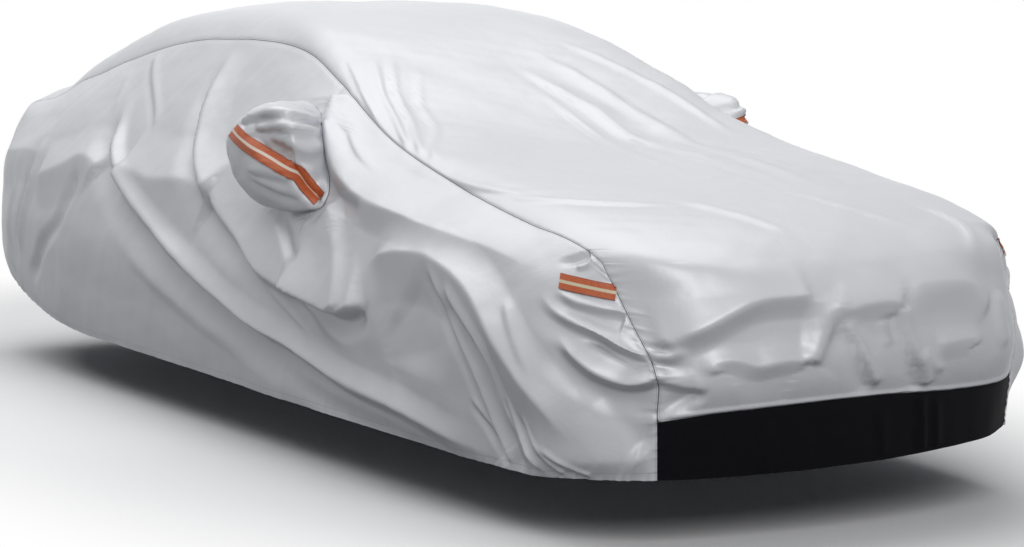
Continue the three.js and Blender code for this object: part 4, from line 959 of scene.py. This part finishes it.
MOUTH_FIRST = (BEHIND, ABOVE)
MOUTH_LAST = (BEHIND + MOUTH_CELLS, ABOVE + MOUTH_CELLS)
skirt_index = ABOVE + MOUTH_CELLS + BELOW
rear_lines = [row.line for row in REAR_DROP] + [0]
front_lines = [0] + [row.line for row in FRONT_DROP]
rear_rows = np.interp(-line_grid[::-1], -np.array(rear_lines), np.arange(REAR_ROWS + 1))
front_rows = np.interp(line_grid[: skirt_index + 1], front_lines, np.arange(REAR_ROWS + LAST, LAST_ROW + 1))
row_grid = np.concatenate([rear_rows[:-1], REAR_ROWS + station_grid, front_rows[1:]])
rear_end = len(rear_rows) - 1
front_end = rear_end + len(station_grid) - 1

panels = {
    "centre": Sheet(row_grid, across_grid, centre_point, 1),
    "skirt": Sheet(line_grid[skirt_index:], across_grid, skirt_point, 1),
}
for side in SIGN:
    panels[side] = Sheet(station_grid, line_grid, lambda a, b, side=side: side_point(side, a, b),
                         SIGN[side], bend=round_mouth, mirrored=side == "left")

# Each seam joins an edge of one panel to an edge of another.
SEAMS = []
for side, backward in (("right", False), ("left", True)):
    SEAMS += [
        (side, Edge(1, False, ALL), "centre", Edge(1, backward, slice(rear_end, front_end + 1))),
        (side, Edge(0, False, ALL), "centre", Edge(1, backward, slice(rear_end, None, -1))),
        (side, Edge(0, True, slice(skirt_index + 1)), "centre", Edge(1, backward, slice(front_end, None))),
        (side, Edge(0, True, slice(skirt_index, None)), "skirt", Edge(1, backward, ALL)),
    ]
SEAMS.append(("centre", Edge(0, True, ALL), "skirt", Edge(0, False, ALL)))


def join_all(reach):
    """Closes every seam. The second round mends what the first undid at the corners."""
    for _ in range(2):
        for first, first_edge, second, second_edge in SEAMS:
            join(panels[first], first_edge, panels[second], second_edge, reach)
    for sheet in panels.values():
        sheet.settle()


# How far from a seam the cloth is drawn to it: after the folds, and after the pleats.
FOLD_JOIN = 0.09
PLEAT_JOIN = 0.03
PANEL_WAVES = [(0.0030, 0.42, 11), (0.0014, 0.16, 12), (0.0006, 0.075, 13)]
FOLDS = {"right": RIGHT_FOLDS, "left": LEFT_FOLDS, "centre": CENTRE_FOLDS, "skirt": SKIRT_FOLDS}
for name, sheet in panels.items():
    sheet.add_folds(FOLDS[name])
join_all(FOLD_JOIN)
for sheet in panels.values():
    sheet.lift(soft_waves(sheet.base.reshape(-1, 3), PANEL_WAVES).reshape(sheet.a.shape))
    sheet.settle()

# Pleats of the seams and the hem: height and reach in metres, and the spacing along the edge.
Pleats = namedtuple("Pleats", "height spacing reach")
SEAM_PLEATS = {
    "long": Pleats(0.0011, 0.045, 0.030),
    "rear corner": Pleats(0.0016, 0.045, 0.040),
    "front corner": Pleats(0.0050, 0.028, 0.026),
    "skirt corner": Pleats(0.0040, 0.026, 0.022),
    "skirt": Pleats(0.0008, 0.040, 0.015),
}
SEAM_NAMES = ["long", "rear corner", "front corner", "skirt corner"] * 2 + ["skirt"]
SEAM_SEED = 30  # of the first seam; each further seam takes the next one
SEAM_GROOVE = (0.0030, 0.007)  # depth, width
HEM_EDGES = {"right": Edge(1, True, ALL), "left": Edge(1, True, ALL), "centre": Edge(0, False, ALL),
             "skirt": Edge(0, True, ALL)}
HEM_HEIGHTS = {"right": 0.0028, "left": 0.0028, "centre": 0.0030, "skirt": 0.0010}
HEM_SPACING, HEM_REACH, HEM_SEED = 0.045, 0.050, 51
# At the front corners the elastic draws the hem in more, from this station on and over this many.
FRONT_HEM = Pleats(0.0045, 0.030, 0.045)
FRONT_HEM_START, FRONT_HEM_RISE, FRONT_HEM_LEAN, FRONT_HEM_SEED = 10.6, 1.0, -0.5, 61

for seed, ((first, first_edge, second, second_edge), name) in enumerate(zip(SEAMS, SEAM_NAMES), SEAM_SEED):
    for sheet, edge in ((panels[first], first_edge), (panels[second], second_edge)):
        sheet.gather(edge, *SEAM_PLEATS[name], seed)
        sheet.groove(edge, *SEAM_GROOVE)
for name, edge in HEM_EDGES.items():
    panels[name].gather(edge, HEM_HEIGHTS[name], HEM_SPACING, HEM_REACH, HEM_SEED)
for side in SIGN:
    ahead = smooth((from_edge(panels[side].a, HEM_EDGES[side]) - FRONT_HEM_START) / FRONT_HEM_RISE)
    panels[side].gather(HEM_EDGES[side], *FRONT_HEM, FRONT_HEM_SEED, lean=FRONT_HEM_LEAN, strength=ahead)
join_all(PLEAT_JOIN)

# ---- the mirror pockets ----
Section = namedtuple("Section", "half y height depth rise")
# From the side panel out to the end. The hidden side's pocket is drawn in tighter.
POCKETS = {
    "right": {
        "sections": [
            Section(0.925, -0.548, 1, 0.18, 0.168),
            Section(0.98, -0.5, 1.01, 0.14, 0.118),
            Section(1.006, -0.465, 1.022, 0.088, 0.06),
        ],
        "end": (1.014, -0.45, 1.03),
    },
    "left": {
        "sections": [
            Section(0.886, -0.51, 1.012, 0.135, 0.142),
            Section(0.908, -0.475, 1.01, 0.1, 0.114),
            Section(0.924, -0.45, 1.008, 0.062, 0.072),
        ],
        "end": (0.931, -0.44, 1.007),
    },
}
POCKET_RINGS = 100
# Folds of a pocket: points are (turn, reach). turn goes once round from 0 at the upper front,
# over 0.25 at the lower front and 0.5 at the lower rear; reach goes from 0 at the mouth to 4.
POCKET_FOLDS = [
    Fold("ridge along the tape", 0.04, 0.15, 0.3, 0.03, 0.006, (0.45, 0.05),
         [(-0.12, 2.9), (0.02, 3), (0.1, 2.4), (0.13, 1.6), (0.155, 1), (0.19, 0.6), (0.23, 0.1)]),
    Fold("upper ridge", 0.011, 0.014, 0.9, 0.04, 0.003, (0.12, 0.06),
         [(-0.13, 2.7), (-0.1, 2.35), (-0.04, 1.73), (0.005, 1.03), (0.02, 0.52), (0.01, 0.03)]),
    Fold("middle ridge", 0.01, 0.014, 0.9, 0.03, 0.003, (0.12, 0.06),
         [(0.01, 2.75), (0.042, 2.02), (0.06, 1.19), (0.062, 0.58), (0.05, 0.03)]),
    Fold("lower ridge", 0.008, 0.014, 0.9, 0.026, 0.003, (0.15, 0.1),
         [(0.072, 2.3), (0.096, 1.65), (0.112, 1), (0.11, 0.5), (0.09, 0.05)]),
    Fold("top ridge", 0.007, 0.012, 0.6, 0.026, 0.003, (0.2, 0.06),
         [(-0.2, 1.3), (-0.11, 0.7), (-0.06, 0.3), (-0.03, 0.03)]),
    Fold("low wrinkle", 0.008, 0.02, 0.7, 0.026, 0.003, (0.2, 0.2),
         [(0.31, 2.8), (0.22, 2.3), (0.195, 1.7), (0.19, 1)]),
    Fold("lowest wrinkle", 0.008, 0.02, 0.6, 0.03, 0.004, (0.2, 0.2),
         [(0.34, 2.5), (0.275, 2), (0.245, 1.3), (0.242, 0.6)]),
    Fold("rear wrinkle", 0.008, 0.034, 0.2, 0.05, 0.006, (0.2, 0.2),
         [(0.62, 0.4), (0.6, 1.4), (0.62, 2.4)]),
    Fold("top wrinkle", 0.008, 0.03, 0.3, 0.04, 0.005, (0.2, 0.2), [(0.74, 0.2), (0.78, 1.1), (0.82, 2)]),
]
# The short pleats that gather the mouth's front edge, at these turns.
MOUTH_PLEATS = (-0.088, -0.058, -0.030, 0.0, 0.026, 0.048, 0.072, 0.096, 0.120, 0.148, 0.180)
PLEAT_FOOT = (0.94, 0.62)  # where a pleat ends: the share of its turn, and the reach
POCKET_FOLDS += [
    Fold("pleat of the mouth", 0.0065, 0.009, 0, 0.009, 0.003, (0.05, 0.7),
         [(turn, 0), (turn, 0.3), (turn * PLEAT_FOOT[0], PLEAT_FOOT[1])])
    for turn in MOUTH_PLEATS
]
POCKET_WAVES = [(0.0016, 0.11, 71), (0.0008, 0.05, 72)]
# Away from the mouth, folds and pleats rise within these distances; the pleats then die out again.
POCKET_FOLD_RISE = 0.03
POCKET_PLEATS = Pleats(0.0045, 0.026, 0.035)
POCKET_PLEAT_RISE, POCKET_PLEAT_SEED = 0.01, 73
POCKET_TIP = 3.94  # how far along the reach the last ring lies; the pole closes it
TIP_SIZE = 0.9  # the last ring is drawn in to this share


def rim_indices():
    """Cells of the mouth's rim, once round from the upper front, as steps from its first corner."""
    n = MOUTH_CELLS
    rim = [(n, k) for k in range(n)] + [(n - k, n) for k in range(n)]
    return np.array(rim + [(0, n - k) for k in range(n)] + [(k, 0) for k in range(n)])


def pocket_rows(side, panel):
    """Points that each meridian of the pocket passes through, from the mouth to the end."""
    rim = rim_indices()
    place = 2 * rim / MOUTH_CELLS - 1
    direction = -place / np.linalg.norm(place, axis=1, keepdims=True)
    mouth = panel.points[MOUTH_FIRST[0] + rim[:, 0], MOUTH_FIRST[1] + rim[:, 1]]
    rows = [mouth]
    for section in POCKETS[side]["sections"]:
        size = np.array([section.depth, section.rise])
        reach = (np.abs(direction / size) ** MOUTH["squareness"]).sum(1) ** (-1 / MOUTH["squareness"])
        offset = direction * reach[:, None]
        rows.append(np.stack([np.full(len(rim), SIGN[side] * section.half), section.y + offset[:, 0],
                              section.height + offset[:, 1]], -1))
    end = np.array(POCKETS[side]["end"]) * (SIGN[side], 1, 1)
    rows.append(np.tile(end, (len(rim), 1)))
    return np.stack(rows, 1)


def ring_normals(points, outward):
    """Unit normals of rings of points, which close on themselves."""
    around = np.roll(points, -1, axis=1) - np.roll(points, 1, axis=1)
    return unit_normals(np.gradient(points, axis=0), around, outward)


def pocket_piece(side, panel):
    rows = pocket_rows(side, panel)
    count = rows.shape[0]
    reaches = spaced([(0, 1.6), (1, 1), (3, 1), (POCKET_TIP, 0.8)], POCKET_RINGS)
    outward = SIGN[side]

    def point_at(turn, reach):
        column = (np.asarray(turn) % 1) * count
        low = np.floor(column).astype(int) % count
        share = (column - np.floor(column))[:, None, None]
        meridian = rows[low] * (1 - share) + rows[(low + 1) % count] * share
        return through(meridian, reach)

    points = np.stack([through(rows, np.full(count, reach)) for reach in reaches])
    normals = ring_normals(points, outward)
    flat, flat_normals = points.reshape(-1, 3), normals.reshape(-1, 3)
    total = sum(fold_lift(fold, point_at, flat, flat_normals) for fold in POCKET_FOLDS)
    total += soft_waves(flat, POCKET_WAVES)
    depth = lengths(points, 0)
    along = lengths(points[0], 0) + np.zeros_like(depth)
    total = total.reshape(depth.shape) * smooth(depth / POCKET_FOLD_RISE)
    pleats = gathers(along, depth, POCKET_PLEATS.spacing, POCKET_PLEATS.reach, POCKET_PLEAT_SEED)
    total += POCKET_PLEATS.height * pleats * smooth(depth / POCKET_PLEAT_RISE)
    points = points + normals * total[..., None]
    points[-1] = points[-1].mean(0) + (points[-1] - points[-1].mean(0)) * TIP_SIZE
    inner = (points - ring_normals(points, outward) * CLOTH)[::2, ::2]
    pole = points[-1].mean(0)
    vertices = np.concatenate([points.reshape(-1, 3), inner.reshape(-1, 3), [pole, inner[-1].mean(0)]])
    outer_index = np.arange(points.shape[0] * count).reshape(-1, count)
    inner_index = outer_index.size + np.arange(inner.shape[0] * inner.shape[1]).reshape(inner.shape[:2])
    faces = []
    outer_tip, inner_tip = len(vertices) - 2, len(vertices) - 1
    sides = [(outer_index, outward < 0, outer_tip), (inner_index, outward > 0, inner_tip)]
    for index, turned, tip in sides:
        closed = np.concatenate([index, index[:, :1]], axis=1)
        quads = grid_quads(closed).reshape(-1, 4)
        caps = np.stack([closed[-1, :-1], np.full(index.shape[1], tip), closed[-1, 1:]], -1)
        for block in (quads, caps):
            faces += (block[:, ::-1] if turned else block).tolist()
    fine, coarse = (np.append(index[0], index[0, 0]) for index in (outer_index, inner_index))
    if outward > 0:
        fine, coarse = fine[::-1], coarse[::-1]
    faces += walls(fine.tolist(), coarse.tolist())
    places = np.stack([along, depth], -1)
    far = np.ones_like(places)

    def map_of(values):
        return np.concatenate([both_sides(values, values[::2, ::2]), values[-1, :2]])

    maps = {"cloth": map_of(places), "seam": map_of(places), "hem": map_of(far)}
    return make_mesh(f"pocket_{side}", vertices, faces, maps, cover_cloth)


# ---- the meshes ----
def cloth_map(sheet):
    """Distances along the cloth in both directions, in metres."""
    return np.stack([lengths(sheet.base, 0), lengths(sheet.base, 1)], -1)


def edge_map(sheet, edges):
    """(along, depth) from the nearest of some edges."""
    best = np.full((*sheet.a.shape, 2), 1.0)
    for edge in edges:
        along, depth = sheet.seam_places(edge)
        view = from_edge(best, edge)
        nearer = depth < view[..., 1]
        view[nearer] = np.stack([along, depth], -1)[nearer]
    return best


seam_edges = {name: [] for name in panels}
for first, first_edge, second, second_edge in SEAMS:
    seam_edges[first].append(first_edge)
    seam_edges[second].append(second_edge)

PANEL_PIECES = {
    "centre": ("top_panel", "centre_panel", cover_cloth),
    "skirt": ("skirt", "front_skirt", skirt_cloth),
    "right": ("side_right", "side_panel_right", cover_cloth),
    "left": ("side_left", "side_panel_left", cover_cloth),
}
pieces = {}
for name, sheet in panels.items():
    piece_name, node, material = PANEL_PIECES[name]
    maps = {
        "cloth": cloth_map(sheet),
        "seam": edge_map(sheet, seam_edges[name]),
        "hem": edge_map(sheet, [HEM_EDGES[name]]),
    }
    hole = (MOUTH_FIRST, MOUTH_LAST) if name in SIGN else None
    piece = grid_piece(piece_name, sheet.points, sheet.outward, maps, material, hole=hole)
    pieces[piece_name] = (piece, node, "skirt_cloth" if name == "skirt" else "cover_cloth")
for side in SIGN:
    piece = pocket_piece(side, panels[side])
    pieces[f"pocket_{side}"] = (piece, f"mirror_pocket_{side}", "cover_cloth")

# ---- the tapes ----
TAPE_FACING = np.array([0.5, -0.86, 0])  # from where the left-hand tapes are seen square on
TAPE_RISE = 0.0040  # how far a tape's face stands off the cloth under it, clear of the small folds
TAPE_THICKNESS = 0.0012
TAPE_GRID = (96, 16)  # cells along and across
TAPE_START, TAPE_REACH = 0.5, 0.75  # how far out the search for the cloth starts, and how far it goes
TAPE_SMOOTHINGS = 3
SAME_SIDE = 0.3  # how far a cloth has to face the tape's way to count as lying under it
# Middle lines of the tapes: distance from the middle of the car to the side, place along it, and height.
MIRROR_TAPES = {
    "right": [(1.004, -0.425, 1.082), (1.008, -0.535, 1.043), (0.985, -0.605, 1.014), (0.947, -0.705, 0.97),
              (0.921, -0.731, 0.952), (0.894, -0.742, 0.913), (0.868, -0.772, 0.874)],
    "left": [(0.925, -0.42, 1.085), (0.915, -0.52, 1.075), (0.875, -0.637, 1.055), (0.852, -0.68, 1.02)],
}
CORNER_TAPES = {
    "right": [(0.797, -2.136, 0.745), (0.752, -2.223, 0.732), (0.7, -2.276, 0.72)],
    "left": [(0.797, -2.136, 0.772), (0.766, -2.2, 0.764), (0.742, -2.232, 0.758)],
}
MIRROR_WIDTH, CORNER_WIDTH = 0.052, 0.042
TAPES = [("mirror", side, MIRROR_TAPES[side], MIRROR_WIDTH, f"pocket_{side}", mirror_webbing)
         for side in SIGN]
TAPES += [("corner", side, CORNER_TAPES[side], CORNER_WIDTH, f"side_{side}", corner_webbing)
          for side in SIGN]


def keep_clear(points, outward, cloth, distance):
    """Moves a tape's points out along its own normals until they are off the cloth by a distance."""
    normals = grid_normals(points, outward)
    for place in np.ndindex(points.shape[:2]):
        point = Vector(points[place] - ORIGIN)
        hit, cloth_normal, _, _ = cloth.find_nearest(point)
        facing_out = float(cloth_normal @ Vector(normals[place]))
        gap = (point - hit).dot(cloth_normal)
        if facing_out > SAME_SIDE and gap < distance:
            points[place] += normals[place] * (distance - gap)
    return points


def tape_piece(kind, side, route, width, below, material):
    """A band of one width, laid on the piece below it as seen square on."""
    facing = TAPE_FACING * (SIGN[side], 1, 1)
    facing = facing / np.linalg.norm(facing)
    points = np.array(route) * (SIGN[side], 1, 1)
    steps = np.linspace(0, len(points) - 1, TAPE_GRID[0] + 1)
    middle = through(points, steps)
    across = np.cross(np.gradient(middle, axis=0), facing)
    across /= np.linalg.norm(across, axis=1, keepdims=True)
    widths = np.linspace(-0.5, 0.5, TAPE_GRID[1] + 1)
    band = middle[:, None] + across[:, None] * (widths * width)[None, :, None]
    cloth = BVHTree.FromObject(pieces[below][0], bpy.context.evaluated_depsgraph_get())
    laid = np.empty_like(band)
    for place in np.ndindex(band.shape[:2]):
        start = Vector(band[place] - ORIGIN + facing * TAPE_START)
        hit = cloth.ray_cast(start, Vector(-facing), TAPE_REACH)[0]
        if hit is None:
            hit = cloth.find_nearest(Vector(band[place] - ORIGIN))[0]
        laid[place] = np.array(hit) + ORIGIN
    on_cloth = laid @ facing
    for _ in range(TAPE_SMOOTHINGS):
        laid[1:-1] = (laid[:-2] + 2 * laid[1:-1] + laid[2:]) / 4
    laid += np.maximum(on_cloth - laid @ facing, 0)[..., None] * facing
    outward = 1 if (grid_normals(laid, 1) @ facing).mean() > 0 else -1
    laid = keep_clear(laid + grid_normals(laid, outward) * TAPE_RISE, outward, cloth, TAPE_RISE)
    places = np.stack([lengths(laid, 0), np.broadcast_to(widths, laid.shape[:2])], -1)
    maps = {"cloth": places, "seam": np.ones_like(places), "hem": np.ones_like(places)}
    return grid_piece(f"{kind}_band_{side}", laid, outward, maps, material, thickness=TAPE_THICKNESS)


for kind, side, route, width, below, material in TAPES:
    piece = tape_piece(kind, side, route, width, below, material)
    pieces[f"{kind}_band_{side}"] = (piece, f"{kind}_tape_{side}", "tape")

# ---- each piece hangs from the root, and the solid it stands for is hidden ----
for piece, node, slot in pieces.values():
    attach(piece, "root")
    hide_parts(node)

# Fields for the flat size of a cloth, in metres and square metres; no table of them follows. The photo shows
# no cut: such sizes are estimates, read off the cloths as they hang here.
Cut = namedtuple("Cut", "width length area held hangs_from carries")

# ---- the studio ----
FLOOR_Z = -1.474
FLOOR_REACH = (1.45, 2.95)  # half sizes of the oval, around the middle, within which shadows fall
FLOOR_FADE = (1.0, 1.6)  # where, in sizes of that oval, the floor becomes the white background
FLOOR_SIZE = 120
FLOOR_ROUGHNESS = 0.9
WHITE = (1, 1, 1, 1)
FLOOR_SEEN = (0.97, 0.97, 0.97, 1)
FLOOR_BOUNCE = (0.13, 0.13, 0.137, 1)  # what the floor throws back onto the cloth
SKY_LIGHT = (0.15, 0.154, 0.165, 1)


def by_ray(nodes, seen, otherwise):
    """seen for camera, glossy and transmission rays, and otherwise for the rest."""
    path = nodes.add("ShaderNodeLightPath", {})
    share = nodes.math("MAXIMUM", path.outputs["Is Camera Ray"], path.outputs["Is Glossy Ray"])
    share = nodes.math("MAXIMUM", share, path.outputs["Is Transmission Ray"])
    return nodes.mix(share, otherwise, seen)


bpy.ops.mesh.primitive_plane_add(size=FLOOR_SIZE, location=(0, 0, FLOOR_Z))
floor = bpy.context.object
floor.name = "floor"
floor_material, floor_shader, nodes = new_material("pale_floor", FLOOR_SEEN[:3], FLOOR_ROUGHNESS)
nodes.put(floor_shader.inputs["Base Color"], by_ray(nodes, FLOOR_SEEN, FLOOR_BOUNCE))
nodes.put(floor_shader.inputs["Specular IOR Level"], 0.0)
where = nodes.add("ShaderNodeNewGeometry", {}).outputs["Position"]
oval = (1 / FLOOR_REACH[0], 1 / FLOOR_REACH[1], 0)
where = nodes.add("ShaderNodeVectorMath", {0: where, 1: oval}, operation="MULTIPLY").outputs[0]
away = nodes.add("ShaderNodeVectorMath", {0: where}, operation="LENGTH").outputs["Value"]
far = nodes.add("ShaderNodeMapRange", {"Value": away, "From Min": FLOOR_FADE[0], "From Max": FLOOR_FADE[1]},
                interpolation_type="SMOOTHSTEP").outputs[0]
white = nodes.add("ShaderNodeEmission", {"Color": by_ray(nodes, WHITE, FLOOR_BOUNCE), "Strength": 1.0})
blend = nodes.add("ShaderNodeMixShader", {0: far, 1: floor_shader.outputs[0], 2: white.outputs[0]})
nodes.put(floor_material.node_tree.nodes["Material Output"].inputs["Surface"], blend.outputs[0])
floor.data.materials.append(floor_material)

world = bpy.data.worlds.new("studio")
bpy.context.scene.world = world
world.use_nodes = True
nodes = Nodes(world.node_tree)
background = world.node_tree.nodes["Background"]
nodes.put(background.inputs["Color"], by_ray(nodes, WHITE, SKY_LIGHT))
background.inputs["Strength"].default_value = 1.0

LAMPS = [
    # name, place, aim, size across and along, power in watts
    ("overhead", (-0.8, 1.7, 5.3), (-0.2, 1.5, 0), (8.0, 10.0), 435),
    ("key", (-2.3, -8.4, 4.0), (0.0, -1.0, -0.6), (5.0, 5.0), 264),
]
for name, place, aim, size, power in LAMPS:
    light = bpy.data.lights.new(name, "AREA")
    light.shape = "RECTANGLE"
    light.size, light.size_y = size
    light.energy = power
    lamp = bpy.data.objects.new(name, light)
    lamp.location = place
    lamp.rotation_euler = (Vector(aim) - Vector(place)).to_track_quat("-Z", "Y").to_euler()
    bpy.context.collection.objects.link(lamp)

bpy.context.scene.view_settings.view_transform = "Standard"
